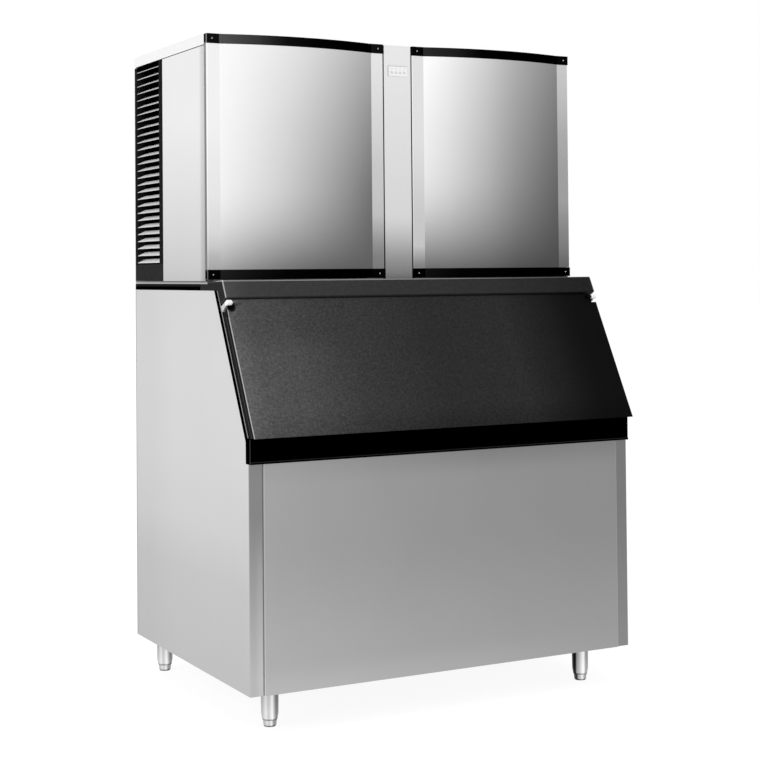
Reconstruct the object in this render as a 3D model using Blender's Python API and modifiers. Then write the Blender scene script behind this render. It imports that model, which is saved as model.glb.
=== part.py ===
"""A commercial ice maker: an ice-making head on an insulated storage bin with a lift-up door.

Metres, +Z up. The front faces -Y and +X is to the right of someone standing in front.
The origin is on the floor, under the middle of the machine.
"""

import math

import bmesh
import bpy
from mathutils import Matrix

# Whole machine
WIDTH = 1.230
HEIGHT = 1.910
BIN_DEPTH = 0.880
LEG_HEIGHT = 0.112
BIN_WALL_HEIGHT = 1.072
SLOPE = math.radians(28.0)

# Shared sheet and clearances
GAP = 0.0003
WELD = 0.00001
OVERRUN = 0.030
SHEET = 0.0012
BEND = 0.004
BEND_STEPS = 3
TURN_STEPS = 24

# Storage bin walls
WALL = 0.052
FLOOR = 0.055
LINER = 0.003
LINER_CORNER = 0.020
LINER_CORNER_STEPS = 3
STRIP = 0.038
STRIP_SEAM = 0.002
PANEL_RAISE = 0.005
REAR_FLANGE = 0.020
BASE_SHEET = 0.002
CORE_INSET = 0.0012
SILL_FOOT = 0.671
SLOPE_SETBACK = 0.020
RIM_HEIGHT = 0.018

# Door frame and sill
FRAME = 0.020
SILL_PROUD = 0.008
SILL_DROP = 0.058
SILL_RISE = 0.009
SILL_LAND = 0.062
SILL_BEAD = 0.002
SILL_BEAD_HEIGHT = 0.005
HEADER_LAP = 0.045

# Door
DOOR_THICKNESS = 0.0325
DOOR_SKIN = 0.003
DOOR_LOWER_EDGE = 0.012
DOOR_GAP = 0.0025
DOOR_SIDE_GAP = 0.0005
DOOR_EDGE = 0.0025
GASKET_SPACE = 0.004
GASKET_WIDTH = 0.012
GASKET_LAP = 0.004
PLUG_CLEARANCE = 0.008
PLUG_SETBACK = 0.004

# Door hinges
HINGE_DROP = 0.012
HINGE_PROUD = 0.003
HINGE_RADIUS = 0.0075
HINGE_LENGTH = 0.017
HINGE_PIN_RADIUS = 0.003
HINGE_PIN_LENGTH = 0.010
KNUCKLE_RADIUS = 0.006
KNUCKLE_LENGTH = 0.013
HINGE_ARM = 0.004
HINGE_FOOT = 0.003
HINGE_FOOT_UP = 0.009
HINGE_FOOT_DOWN = 0.015
HINGE_SIDE_GAP = 0.001
HINGE_STEP = 0.0005
NOTCH_DEPTH = 0.030

# Fascia above the door
FASCIA_PROUD = 0.007
FASCIA_DROP = 0.0205
FASCIA_RISE = 0.0105
FASCIA_REAR_RISE = 0.004
FASCIA_REACH = 0.338
FASCIA_EDGE = 0.003

# Legs
LEG_INSET_FRONT_X = 0.103
LEG_INSET_REAR_X = 0.075
LEG_INSET_FRONT = 0.106
LEG_INSET_REAR = 0.040
LEG_RADIUS = 0.025
LEG_WAIST_RADIUS = 0.0240
LEG_END_RADIUS = 0.0212
LEG_WAIST_HEIGHT = 0.036
FOOT_HEIGHT = 0.018
FOOT_RING = 0.0012
FOOT_RADIUS = 0.0198
FOOT_TOE_RADIUS = 0.0180
FOOT_ROUND = 0.004
STEM_RADIUS = 0.008
STEM_LENGTH = 0.050
STEM_CLEARANCE = 0.0005

# Bin drain
DRAIN_RADIUS = 0.016
DRAIN_BORE = 0.012
DRAIN_FLANGE = 0.034
DRAIN_FLANGE_THICKNESS = 0.003
DRAIN_BELOW = 0.030
DRAIN_FROM_BACK = 0.200

# Head casing
HEAD_SETBACK = 0.284
HEAD_BASE_HEIGHT = 0.008
HEAD_BASE_SHEET = 0.0015
HEAD_BASE_INSET = 0.001
CAP_RAIL_HEIGHT = 0.004
CAP_RAIL_INSET = 0.004
CAP_RAIL_LAP = 0.001
TOP_FLANGE = 0.030
CASING_SEAM = 0.0025
CASING_FLANGE = 0.016
LOUVRE_WIDTH = 0.243
LOUVRE_DEPTH = 0.026
LOUVRE_INSET = 0.001
LOUVRE_FRONT_BAR = 0.032
LOUVRE_REAR_BAR = 0.018
LOUVRE_BOTTOM_BAR = 0.056
LOUVRE_TOP_BAR = 0.008
SLAT_PITCH = 0.02187
SLAT_START = 0.0108
SLAT_SETBACK = 0.0004
SLAT_THICKNESS = 0.0015
SLAT_RISE = 0.0115
SLAT_LAP = 0.002
VENT_WIDTH = 0.200
VENT_HEIGHT = 0.012
VENT_PITCH = 0.026
VENT_FROM_SIDE = 0.365
VENT_FOOT = 0.200
VENT_HEADROOM = 0.150

# Front panels, caps and pillar
PILLAR_WIDTH = 0.092
PILLAR_SEAM = 0.003
PILLAR_DROP = 0.001
PANEL_RETURN = 0.015
PANEL_SIDE_INSET = 0.0015
PANEL_STRIP = 0.040
PANEL_BULGE = 0.033
PANEL_ARC_STEPS = 16
CAP_HEIGHT = 0.0275
CAP_PROUD = 0.0015
CAP_EDGE = 0.0015

# Control plate and push buttons
CONTROL_WIDTH = 0.064
CONTROL_HEIGHT = 0.031
CONTROL_THICKNESS = 0.003
CONTROL_DROP = 0.062
CONTROL_CORNER = 0.0012
BUTTON_COUNT = 4
BUTTON_PITCH = 0.014
BUTTON_DROP = 0.0045
BUTTON_RADIUS = 0.0038
BUTTON_DEPTH = 0.0021
BUTTON_PROUD = 0.0009
BUTTON_EDGE = 0.0003

# Machine side of the head
BULKHEAD_SETBACK = 0.022
COMPRESSOR_FROM_SIDE = 0.325
COMPRESSOR_SETBACK = 0.200
COMPRESSOR_RADIUS = 0.095
COMPRESSOR_HEIGHT = 0.300
COMPRESSOR_DOME = 0.060
COMPRESSOR_WALL = 0.010
COMPRESSOR_FLANGE = 0.020
COMPRESSOR_FOOT = 0.005
COMPRESSOR_STUB = 0.012
DOME_STEPS = 4
CONDENSER_THICKNESS = 0.036
CONDENSER_STANDOFF = 0.006
CONDENSER_HEADROOM = 0.1066
CONDENSER_LAP = 0.006
CONDENSER_FIN_COUNT = 20
CONDENSER_FIN_SLOT = 0.008
CONDENSER_FIN_DEPTH = 0.010
CONDENSER_BORDER = 0.014
SHROUD_DEPTH = 0.030
SHROUD_WALL = 0.002
FAN_RADIUS = 0.090
FAN_TIP_GAP = 0.006
FAN_HUB_RADIUS = 0.022
FAN_HUB_LENGTH = 0.018
FAN_BLADE_COUNT = 5
FAN_BLADE_WIDTH = 0.042
FAN_BLADE_THICKNESS = 0.002
FAN_BLADE_PITCH = math.radians(28.0)
FAN_SHAFT_RADIUS = 0.004
FAN_SHAFT_LENGTH = 0.030
FAN_SHAFT_CLEARANCE = 0.0004
MOTOR_RADIUS = 0.036
MOTOR_LENGTH = 0.062
MOTOR_GAP = 0.008
MOTOR_EDGE = 0.006
MOTOR_STAND_WIDTH = 0.034
MOTOR_STAND_THICKNESS = 0.010
MOTOR_STAND_FOOT = 0.050
MOTOR_STAND_FOOT_HEIGHT = 0.004
CONTROL_BOX_WIDTH = 0.200
CONTROL_BOX_DEPTH = 0.080
CONTROL_BOX_HEIGHT = 0.240
CONTROL_BOX_DROP = 0.070
CONTROL_BOX_EDGE = 0.004

# Wet side of the head
FREEZER_WALL = 0.004
FREEZER_FROM_BULKHEAD = 0.010
FREEZER_FROM_SIDE = 0.037
FREEZER_SETBACK = 0.026
FREEZER_DEPTH = 0.300
FREEZER_HEADROOM = 0.0566
DROP_LEFT_MARGIN = 0.040
DROP_RIGHT_MARGIN = 0.038
DROP_DEPTH = 0.120
DROP_MARGIN = 0.030
EVAPORATOR_LEFT_MARGIN = 0.060
EVAPORATOR_RIGHT_MARGIN = 0.088
EVAPORATOR_THICKNESS = 0.028
EVAPORATOR_FROM_WALL = 0.060
EVAPORATOR_DROP = 0.060
CELL_COLUMNS = 12
CELL_ROWS = 10
CELL_WALL = 0.004
CELL_DEPTH = 0.018
STANDOFF = 0.020
STANDOFF_INSET = 0.010
EAR = 0.003
EAR_HEIGHT = 0.026
EAR_LAP = 0.010
EAR_DROP = 0.002
CURTAIN_THICKNESS = 0.0025
CURTAIN_FORWARD = 0.016
CURTAIN_PIN_RADIUS = 0.003
CURTAIN_PIN_CLEARANCE = 0.0004
CURTAIN_PIN_STEPS = 12
CURTAIN_SIDE_GAP = 0.0006
CURTAIN_BELOW = 0.012
TROUGH_WALL = 0.003
TROUGH_HEIGHT = 0.062
TROUGH_DEPTH = 0.120
TROUGH_DROP = 0.050
TROUGH_RISE = 0.058
TROUGH_LEFT_MARGIN = 0.050
TROUGH_RIGHT_MARGIN = 0.010
PUMP_FROM_END = 0.046
PUMP_RADIUS = 0.026
PUMP_HEIGHT = 0.070
PUMP_NECK = 0.009
PUMP_VOLUTE = 0.020
PUMP_VOLUTE_HEIGHT = 0.016
PUMP_FLOOR_GAP = 0.006
PUMP_PLATE = 0.003
PUMP_PLATE_WIDTH = 0.060
TUBE_RADIUS = 0.008
TUBE_BEND = 0.024

# Copper lines
LINE_RADIUS = 0.005
LINE_BEND = 0.020
LINE_BEND_STEPS = 4
LINE_CLEARANCE = 0.002
LINE_SPACING = 0.060
LINE_RISE = 0.050
STUB_RADIUS = 0.010
DRIER_RADIUS = 0.014
DRIER_LENGTH = 0.090
DRIER_TAPER = 0.014
DRIER_NECK = 0.0075
DRIER_FROM_BULKHEAD = 0.115
SUCTION_DROP = 0.030
LIQUID_DROP = 0.080

# Rear connections
FITTING_PROUD = 0.012
FITTING_FLANGE = 0.020
FITTING_FLANGE_THICKNESS = 0.004
INLET_RADIUS = 0.013
INLET_BORE = 0.009
INLET_FROM_SIDE = 0.165
GLAND_RADIUS = 0.011
GLAND_BORE = 0.005
GLAND_FROM_SIDE = 0.165
FITTING_INSIDE = 0.020
FITTING_RISE = 0.060

# Levels and planes that follow from the sizes above
half_width = WIDTH / 2
bin_bottom = LEG_HEIGHT
bin_top = bin_bottom + BIN_WALL_HEIGHT
sill_foot = bin_bottom + SILL_FOOT
frame_face = FRAME
door_inner = FRAME + GASKET_SPACE
door_outer = door_inner + DOOR_THICKNESS
door_bottom = sill_foot + DOOR_LOWER_EDGE
rim_bottom = bin_top + GAP
rim_top = rim_bottom + RIM_HEIGHT

# The door's lower edge is the foremost point, and the rear connections are the rearmost
door_lip = (
    door_outer / math.cos(SLOPE) - SLOPE_SETBACK - (door_bottom - sill_foot) * math.tan(SLOPE)
)
front_y = door_lip - (door_lip + BIN_DEPTH + FITTING_PROUD) / 2
back_y = front_y + BIN_DEPTH
back_inside = back_y - SHEET - GAP
foot_y = front_y + SLOPE_SETBACK
sill_face = front_y - SILL_PROUD
sill_bottom = sill_foot - SILL_DROP
sill_top = sill_foot + SILL_RISE
head_front = front_y + HEAD_SETBACK
fascia_rear = front_y + FASCIA_REACH

# Head levels
head_base_bottom = rim_top + GAP
head_base_top = head_base_bottom + HEAD_BASE_HEIGHT
casing_bottom = head_base_top + GAP
cap_seat = casing_bottom + CAP_RAIL_HEIGHT
casing_top = HEIGHT - TOP_FLANGE - CASING_SEAM
casing_front = head_front + PANEL_RETURN + CASING_SEAM
louvre_front = back_inside - LOUVRE_WIDTH
interior_top = HEIGHT - SHEET - GAP
inlet_x = half_width - INLET_FROM_SIDE
gland_x = GLAND_FROM_SIDE - half_width

# Slope of the bin's front: distance up it from its foot, and distance out from it
fascia_foot = (bin_top - FASCIA_DROP - sill_foot) / math.cos(SLOPE) - door_outer * math.tan(SLOPE)
door_head = fascia_foot - DOOR_GAP
header_foot = door_head - HEADER_LAP
hinge_up = door_head - HINGE_DROP
hinge_out = door_outer + HINGE_PROUD
hinge_outer = half_width - HINGE_SIDE_GAP
hinge_inner = hinge_outer - HINGE_LENGTH
notch_wall = hinge_inner - HINGE_SIDE_GAP
knuckle_face = notch_wall - HINGE_SIDE_GAP

# Machine side of the head
condenser_top = casing_top - CONDENSER_HEADROOM
condenser_width = LOUVRE_WIDTH - LOUVRE_FRONT_BAR - LOUVRE_REAR_BAR + 2 * CONDENSER_LAP
condenser_outer = -(half_width - LOUVRE_INSET - LOUVRE_DEPTH - CONDENSER_STANDOFF)
condenser_inner = condenser_outer + CONDENSER_THICKNESS
shroud_face = condenser_inner + SHROUD_DEPTH
fan_y = louvre_front + (LOUVRE_WIDTH + LOUVRE_FRONT_BAR - LOUVRE_REAR_BAR) / 2
fan_z = (casing_bottom + condenser_top) / 2
motor_face = shroud_face + FAN_HUB_LENGTH / 2 + MOTOR_GAP
compressor_x = COMPRESSOR_FROM_SIDE - half_width
compressor_y = head_front + COMPRESSOR_SETBACK
compressor_top = casing_bottom + COMPRESSOR_HEIGHT
stub_top = compressor_top + COMPRESSOR_STUB
line_level = stub_top + LINE_RISE

# Wet side of the head
freezer_left = FREEZER_FROM_BULKHEAD
freezer_right = half_width - FREEZER_FROM_SIDE
freezer_front = head_front + FREEZER_SETBACK
freezer_back = freezer_front + FREEZER_DEPTH
freezer_top = casing_top - FREEZER_HEADROOM
freezer_wall_face = freezer_back - FREEZER_WALL
drop_left = freezer_left + DROP_LEFT_MARGIN
drop_right = freezer_right - DROP_RIGHT_MARGIN
drop_front = freezer_front + DROP_MARGIN
drop_back = drop_front + DROP_DEPTH
trough_left = freezer_left + TROUGH_LEFT_MARGIN
trough_right = freezer_right - TROUGH_RIGHT_MARGIN
trough_back = freezer_wall_face - GAP
trough_front = trough_back - TROUGH_DEPTH
trough_bottom = casing_bottom + TROUGH_RISE
trough_top = trough_bottom + TROUGH_HEIGHT
evaporator_left = freezer_left + EVAPORATOR_LEFT_MARGIN
evaporator_right = freezer_right - EVAPORATOR_RIGHT_MARGIN
evaporator_back = freezer_wall_face - EVAPORATOR_FROM_WALL
evaporator_front = evaporator_back - EVAPORATOR_THICKNESS
evaporator_bottom = trough_top + TROUGH_DROP
evaporator_top = freezer_top - EVAPORATOR_DROP
curtain_y = evaporator_front - CURTAIN_FORWARD
curtain_z = evaporator_top - EAR_DROP - EAR_HEIGHT / 2
pump_x = freezer_right - PUMP_FROM_END
pump_y = (trough_front + trough_back) / 2
pump_seat = trough_top + GAP + PUMP_PLATE
pump_top = pump_seat + PUMP_HEIGHT


def on_slope(up, out):
    """(y, z) of a point this far up the bin's slope from its foot, and this far out from it."""
    return (
        foot_y + up * math.sin(SLOPE) - out * math.cos(SLOPE),
        sill_foot + up * math.cos(SLOPE) + out * math.sin(SLOPE),
    )


def slope_at(z, out):
    """(y, z) of the point at this height on the plane this far out from the slope."""
    return on_slope((z - sill_foot - out * math.sin(SLOPE)) / math.cos(SLOPE), out)


def new_collection(name, shown):
    collection = bpy.data.collections.new(name)
    bpy.context.scene.collection.children.link(collection)
    collection.hide_render = not shown
    return collection


def material(name, color, roughness, metallic):
    """A Principled material with one colour, made once for each name."""
    found = bpy.data.materials.get(name)
    if found:
        return found
    made = bpy.data.materials.new(name)
    made.use_nodes = True
    shader = made.node_tree.nodes["Principled BSDF"]
    shader.inputs["Base Color"].default_value = (*color, 1.0)
    shader.inputs["Roughness"].default_value = roughness
    shader.inputs["Metallic"].default_value = metallic
    made.diffuse_color = (*color, 1.0)
    return made


def brushed_steel():
    return material("brushed_steel", (0.62, 0.62, 0.62), 0.32, 1.0)


def bright_steel():
    return material("bright_steel", (0.78, 0.78, 0.78), 0.16, 1.0)


def zinc_sheet():
    return material("zinc_sheet", (0.50, 0.51, 0.52), 0.45, 1.0)


def black_plastic():
    return material("black_plastic", (0.012, 0.012, 0.012), 0.30, 0.0)


def grained_black():
    return material("grained_black", (0.022, 0.022, 0.022), 0.62, 0.0)


def black_rubber():
    return material("black_rubber", (0.020, 0.020, 0.020), 0.80, 0.0)


def white_plastic():
    return material("white_plastic", (0.80, 0.80, 0.79), 0.35, 0.0)


def grey_plastic():
    return material("grey_plastic", (0.35, 0.36, 0.37), 0.45, 0.0)


def clear_curtain():
    return material("clear_curtain", (0.72, 0.78, 0.80), 0.25, 0.0)


def yellow_foam():
    return material("yellow_foam", (0.70, 0.58, 0.30), 0.90, 0.0)


def black_enamel():
    return material("black_enamel", (0.015, 0.015, 0.016), 0.40, 0.0)


def fin_aluminium():
    return material("fin_aluminium", (0.70, 0.71, 0.72), 0.40, 1.0)


def nickel_plate():
    return material("nickel_plate", (0.66, 0.64, 0.60), 0.25, 1.0)


def copper_pipe():
    return material("copper_pipe", (0.72, 0.38, 0.24), 0.30, 1.0)


def brass_fitting():
    return material("brass_fitting", (0.75, 0.58, 0.28), 0.30, 1.0)


def add_object(name, mesh, finish, origin=(0, 0, 0)):
    """An object whose mesh is given in world space and whose origin is put at this point."""
    mesh.transform(Matrix.Translation([-value for value in origin]))
    mesh.name = name
    made = bpy.data.objects.new(name, mesh)
    made.location = origin
    if finish:
        mesh.materials.clear()
        mesh.materials.append(finish)
        parts.objects.link(made)
    else:
        made.hide_render = True
        made.display_type = "WIRE"
        cutters.objects.link(made)
    return made


def mesh_from(work, name):
    mesh = bpy.data.meshes.new(name)
    work.to_mesh(mesh)
    work.free()
    return mesh


def box(name, low, high, finish=None, origin=(0, 0, 0)):
    """A box between two corners."""
    work = bmesh.new()
    bmesh.ops.create_cube(work, size=1.0)
    size = [b - a for a, b in zip(low, high)]
    middle = [(a + b) / 2 for a, b in zip(low, high)]
    place = Matrix.Translation(middle) @ Matrix.Diagonal((*size, 1.0))
    bmesh.ops.transform(work, matrix=place, verts=work.verts)
    return add_object(name, mesh_from(work, name), finish, origin)


PLANES = {
    "XY": Matrix(((1, 0, 0, 0), (0, 1, 0, 0), (0, 0, 1, 0), (0, 0, 0, 1))),
    "YZ": Matrix(((0, 0, 1, 0), (1, 0, 0, 0), (0, 1, 0, 0), (0, 0, 0, 1))),
    "XZ": Matrix(((1, 0, 0, 0), (0, 0, -1, 0), (0, 1, 0, 0), (0, 0, 0, 1))),
}


def slope_plane():
    """Across the machine, up the slope, and out from it."""
    rows = (
        (1, 0, 0, 0),
        (0, math.sin(SLOPE), -math.cos(SLOPE), foot_y),
        (0, math.cos(SLOPE), math.sin(SLOPE), sill_foot),
        (0, 0, 0, 1),
    )
    return Matrix(rows)


def prism(name, outlines, plane, low, high, finish=None, origin=(0, 0, 0)):
    """Flat outlines filled and drawn out from low to high, square to their plane.

    The first outline is the outer edge and any others are holes in it.
    """
    curve = bpy.data.curves.new(name, "CURVE")
    curve.dimensions = "2D"
    curve.fill_mode = "BOTH"
    curve.extrude = abs(high - low) / 2
    for outline in outlines:
        spline = curve.splines.new("POLY")
        spline.points.add(len(outline) - 1)
        for point, (across, up) in zip(spline.points, outline):
            point.co = (across, up, 0, 1)
        spline.use_cyclic_u = True
    guide = bpy.data.objects.new(name + "_outline", curve)
    cutters.objects.link(guide)
    graph = bpy.context.evaluated_depsgraph_get()
    mesh = bpy.data.meshes.new_from_object(guide.evaluated_get(graph))
    bpy.data.objects.remove(guide)
    bpy.data.curves.remove(curve)
    work = bmesh.new()
    work.from_mesh(mesh)
    bmesh.ops.remove_doubles(work, verts=work.verts, dist=WELD)
    bmesh.ops.dissolve_limit(work, angle_limit=math.radians(1), verts=work.verts, edges=work.edges)
    bmesh.ops.recalc_face_normals(work, faces=work.faces)
    work.to_mesh(mesh)
    work.free()
    frame = slope_plane() if plane == "SLOPE" else PLANES[plane]
    sign = -1 if plane == "XZ" else 1
    lift = Matrix.Translation((0, 0, sign * (low + high) / 2))
    mesh.transform(frame @ lift)
    return add_object(name, mesh, finish, origin)


def rounded(corners, radius, steps, closed=False):
    """The corners as a path, each inner corner an arc of this radius."""
    path = []
    last = len(corners) - 1
    for index, corner in enumerate(corners):
        if not closed and index in (0, last):
            path.append(corner)
            continue
        before = corners[index - 1]
        after = corners[(index + 1) % len(corners)]
        path.extend(corner_arc(before, corner, after, radius, steps))
    return path


def corner_arc(before, corner, after, radius, steps):
    """Points of the arc that rounds one corner, in two or three dimensions."""
    into = [a - b for a, b in zip(before, corner)]
    away = [a - b for a, b in zip(after, corner)]
    into_length = math.sqrt(sum(value * value for value in into))
    away_length = math.sqrt(sum(value * value for value in away))
    into = [value / into_length for value in into]
    away = [value / away_length for value in away]
    between = math.acos(sum(a * b for a, b in zip(into, away)))
    setback = radius / math.tan(between / 2)
    bisector = [a + b for a, b in zip(into, away)]
    scale = 1 / math.sqrt(sum(value * value for value in bisector))
    reach = radius / math.sin(between / 2)
    centre = [c + b * scale * reach for c, b in zip(corner, bisector)]
    start = [c + v * setback - m for c, v, m in zip(corner, into, centre)]
    end = [c + v * setback - m for c, v, m in zip(corner, away, centre)]
    swept = math.pi - between
    points = []
    for step in range(steps + 1):
        share = step / steps
        first = math.sin((1 - share) * swept) / math.sin(swept)
        second = math.sin(share * swept) / math.sin(swept)
        points.append(tuple(m + a * first + b * second for m, a, b in zip(centre, start, end)))
    return points


def arc(first, last, bulge, steps):
    """Points on the arc between two points that bows out by this much towards -Y."""
    half = (last[0] - first[0]) / 2
    radius = (half * half + bulge * bulge) / (2 * bulge)
    spread = math.asin(half / radius)
    middle = (first[0] + last[0]) / 2
    points = []
    for step in range(steps + 1):
        angle = spread * (2 * step / steps - 1)
        points.append(
            (
                middle + radius * math.sin(angle),
                first[1] - bulge + radius * (1 - math.cos(angle)),
            )
        )
    return points


def offset_path(path, distance):
    """The path moved to its left by this distance, corners mitred."""
    moved = []
    for index, (x, y) in enumerate(path):
        normals = []
        for start, end in ((index - 1, index), (index, index + 1)):
            if start < 0 or end >= len(path):
                continue
            run = path[end][0] - path[start][0]
            rise = path[end][1] - path[start][1]
            length = math.hypot(run, rise)
            normals.append((-rise / length, run / length))
        across = sum(normal[0] for normal in normals) / len(normals)
        up = sum(normal[1] for normal in normals) / len(normals)
        square = across * across + up * up
        moved.append((x + across / square * distance, y + up / square * distance))
    return moved


def sheet_outline(path, thickness):
    """The outline of a folded sheet whose outer face follows the path, sheet to its left."""
    return path + offset_path(path, thickness)[::-1]


def mirrored(points, side):
    return [(side * point[0], *point[1:]) for point in points]


def turned(name, profile, place, finish=None, origin=(0, 0, 0), steps=TURN_STEPS, loop=False):
    """A profile of (radius, height) turned about Z, top to bottom on its outer side."""
    work = bmesh.new()
    verts = [work.verts.new((radius, 0, height)) for radius, height in profile]
    for first, second in zip(verts, verts[1:]):
        work.edges.new((first, second))
    if loop:
        work.edges.new((verts[-1], verts[0]))
    made = add_object(name, mesh_from(work, name), finish)
    screw = made.modifiers.new("turn", "SCREW")
    screw.steps = steps
    screw.render_steps = steps
    screw.use_merge_vertices = True
    screw.merge_threshold = WELD
    screw.use_normal_calculate = True
    graph = bpy.context.evaluated_depsgraph_get()
    mesh = bpy.data.meshes.new_from_object(made.evaluated_get(graph))
    made.modifiers.clear()
    work = bmesh.new()
    work.from_mesh(mesh)
    bmesh.ops.remove_doubles(work, verts=work.verts, dist=WELD)
    bmesh.ops.recalc_face_normals(work, faces=work.faces)
    work.to_mesh(mesh)
    work.free()
    mesh.transform(Matrix.Translation([-value for value in origin]) @ place)
    mesh.materials.clear()
    if finish:
        mesh.materials.append(finish)
    mesh.shade_smooth()
    mesh.set_sharp_from_angle(angle=math.radians(35))
    made.data = mesh
    made.location = origin
    return made


def along_x(x, y, z):
    """Puts a turned piece's axis along +X, from this point."""
    return Matrix.Translation((x, y, z)) @ Matrix.Rotation(math.pi / 2, 4, "Y")


def along_y(x, y, z):
    """Puts a turned piece's axis along +Y, from this point."""
    return Matrix.Translation((x, y, z)) @ Matrix.Rotation(-math.pi / 2, 4, "X")


def upright(x, y, z):
    return Matrix.Translation((x, y, z))


def rod(name, radius, low, high, place, finish=None, steps=TURN_STEPS):
    """A plain round bar between two heights of its own axis."""
    profile = [(0, high), (radius, high), (radius, low), (0, low)]
    return turned(name, profile, place, finish, steps=steps)


def modify(made, operation, other):
    change = made.modifiers.new(operation.lower(), "BOOLEAN")
    change.operation = operation
    change.object = other
    change.solver = "EXACT"


def cut(made, *others):
    for other in others:
        modify(made, "DIFFERENCE", other)
    return made


def join(made, *others):
    for other in others:
        modify(made, "UNION", other)
    return made


def soften(made, width, segments=2):
    """Rounds the edges of a piece that stand out, and leaves its inner corners sharp."""
    work = bmesh.new()
    work.from_mesh(made.data)
    weight = work.edges.layers.float.new("bevel_weight_edge")
    for edge in work.edges:
        if edge.calc_face_angle_signed(0) > math.radians(30):
            edge[weight] = 1.0
    work.to_mesh(made.data)
    work.free()
    bevel = made.modifiers.new("soften", "BEVEL")
    bevel.width = width
    bevel.segments = segments
    bevel.limit_method = "WEIGHT"
    return made


def tube(name, corners, radius, bend, finish):
    """A round tube along the corners, with a bend at each."""
    curve = bpy.data.curves.new(name, "CURVE")
    curve.dimensions = "3D"
    curve.bevel_depth = radius
    curve.bevel_resolution = 2
    curve.use_fill_caps = True
    path = rounded(corners, bend, LINE_BEND_STEPS)
    spline = curve.splines.new("POLY")
    spline.points.add(len(path) - 1)
    for point, place in zip(spline.points, path):
        point.co = (*place, 1)
    curve.materials.append(finish)
    made = bpy.data.objects.new(name, curve)
    parts.objects.link(made)
    return made


def tube_mesh(name, corners, radius, bend, finish):
    """The same tube as a mesh, so that it can be joined to other shapes."""
    guide = tube(name + "_route", corners, radius, bend, finish)
    graph = bpy.context.evaluated_depsgraph_get()
    mesh = bpy.data.meshes.new_from_object(guide.evaluated_get(graph))
    curve = guide.data
    bpy.data.objects.remove(guide)
    bpy.data.curves.remove(curve)
    work = bmesh.new()
    work.from_mesh(mesh)
    bmesh.ops.remove_doubles(work, verts=work.verts, dist=WELD)
    bmesh.ops.recalc_face_normals(work, faces=work.faces)
    work.to_mesh(mesh)
    work.free()
    return add_object(name, mesh, finish)


def wall_outline(front, back, bottom, top, out):
    """Side view of a wall that stands behind the slope: its front edge follows the slope."""
    return [
        (front, bottom),
        slope_front(front, out),
        slope_at(top, out),
        (back, top),
        (back, bottom),
    ]


def slope_front(front, out):
    """(y, z) where a vertical plane meets the plane this far out from the slope."""
    rise = (front - foot_y + out / math.cos(SLOPE)) / math.tan(SLOPE)
    return (front, sill_foot + rise)


def bin_side(name, side):
    """Stainless skin folded round the front corner and the back, cut along the slope."""
    rear = back_inside
    path = [
        (half_width - REAR_FLANGE, rear),
        (half_width, rear),
        (half_width, front_y),
        (half_width - STRIP, front_y),
    ]
    path = rounded(path, BEND, BEND_STEPS)
    outline = mirrored(sheet_outline(path[::-1], SHEET), side)
    made = prism(name, [outline], "XY", bin_bottom, bin_top, brushed_steel())
    ahead = front_y - OVERRUN
    above = slope_at(bin_top + OVERRUN, 0)
    sloped = [
        (ahead, sill_bottom),
        (foot_y, sill_bottom),
        (foot_y, sill_foot),
        above,
        (ahead, above[1]),
    ]
    ends = sorted((side * (half_width - STRIP - OVERRUN), side * (half_width + OVERRUN)))
    return cut(made, prism(name + "_slope", [sloped], "YZ", *ends))


def bin_front_panel():
    """Raised stainless panel with its ends folded back to the corner strips."""
    reach = half_width - STRIP - STRIP_SEAM
    path = [
        (-reach, front_y + SHEET),
        (-reach, front_y - PANEL_RAISE),
        (reach, front_y - PANEL_RAISE),
        (reach, front_y + SHEET),
    ]
    outline = sheet_outline(rounded(path, BEND - SHEET, BEND_STEPS), SHEET)
    return prism("bin_front_panel", [outline], "XY", bin_bottom, sill_foot, brushed_steel())


def bin_back_panel():
    low = (-half_width, back_y - SHEET, bin_bottom)
    return box("bin_back_panel", low, (half_width, back_y, bin_top), brushed_steel())


def drain_place():
    return upright(0, back_y - DRAIN_FROM_BACK, 0)


def drain_hole(name):
    low = bin_bottom - OVERRUN
    high = bin_bottom + FLOOR + OVERRUN
    return rod(name, DRAIN_RADIUS + GAP, low, high, drain_place())


def bin_base():
    """Zinc pan that closes the bin's underside and carries the legs."""
    reach = half_width - SHEET - CORE_INSET
    front = front_y + SHEET + CORE_INSET
    rear = back_inside - SHEET - CORE_INSET
    low = (-reach, front, bin_bottom)
    made = box("bin_base", low, (reach, rear, bin_bottom + BASE_SHEET), zinc_sheet())
    return cut(made, drain_hole("base_drain_hole"))


def liner_outline(grow, top, out):
    front = front_y + WALL - grow
    back = back_y - WALL + grow
    return wall_outline(front, back, bin_bottom + FLOOR - grow, top, out)


def bin_insulation():
    """Foam between the skins and the liner."""
    reach = half_width - SHEET - CORE_INSET
    front = front_y + SHEET + CORE_INSET
    rear = back_inside - SHEET - CORE_INSET
    bottom = bin_bottom + BASE_SHEET + GAP
    outline = [
        (front, bottom),
        (front, sill_foot),
        (foot_y, sill_foot),
        slope_at(bin_top, 0),
        (rear, bin_top),
        (rear, bottom),
    ]
    made = prism("bin_insulation", [outline], "YZ", -reach, reach, yellow_foam())
    hollow = liner_outline(LINER + GAP, bin_top + OVERRUN, OVERRUN)
    inside = half_width - WALL + LINER + GAP
    return cut(
        made,
        prism("insulation_hollow", [hollow], "YZ", -inside, inside),
        drain_hole("insulation_drain_hole"),
    )


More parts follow.
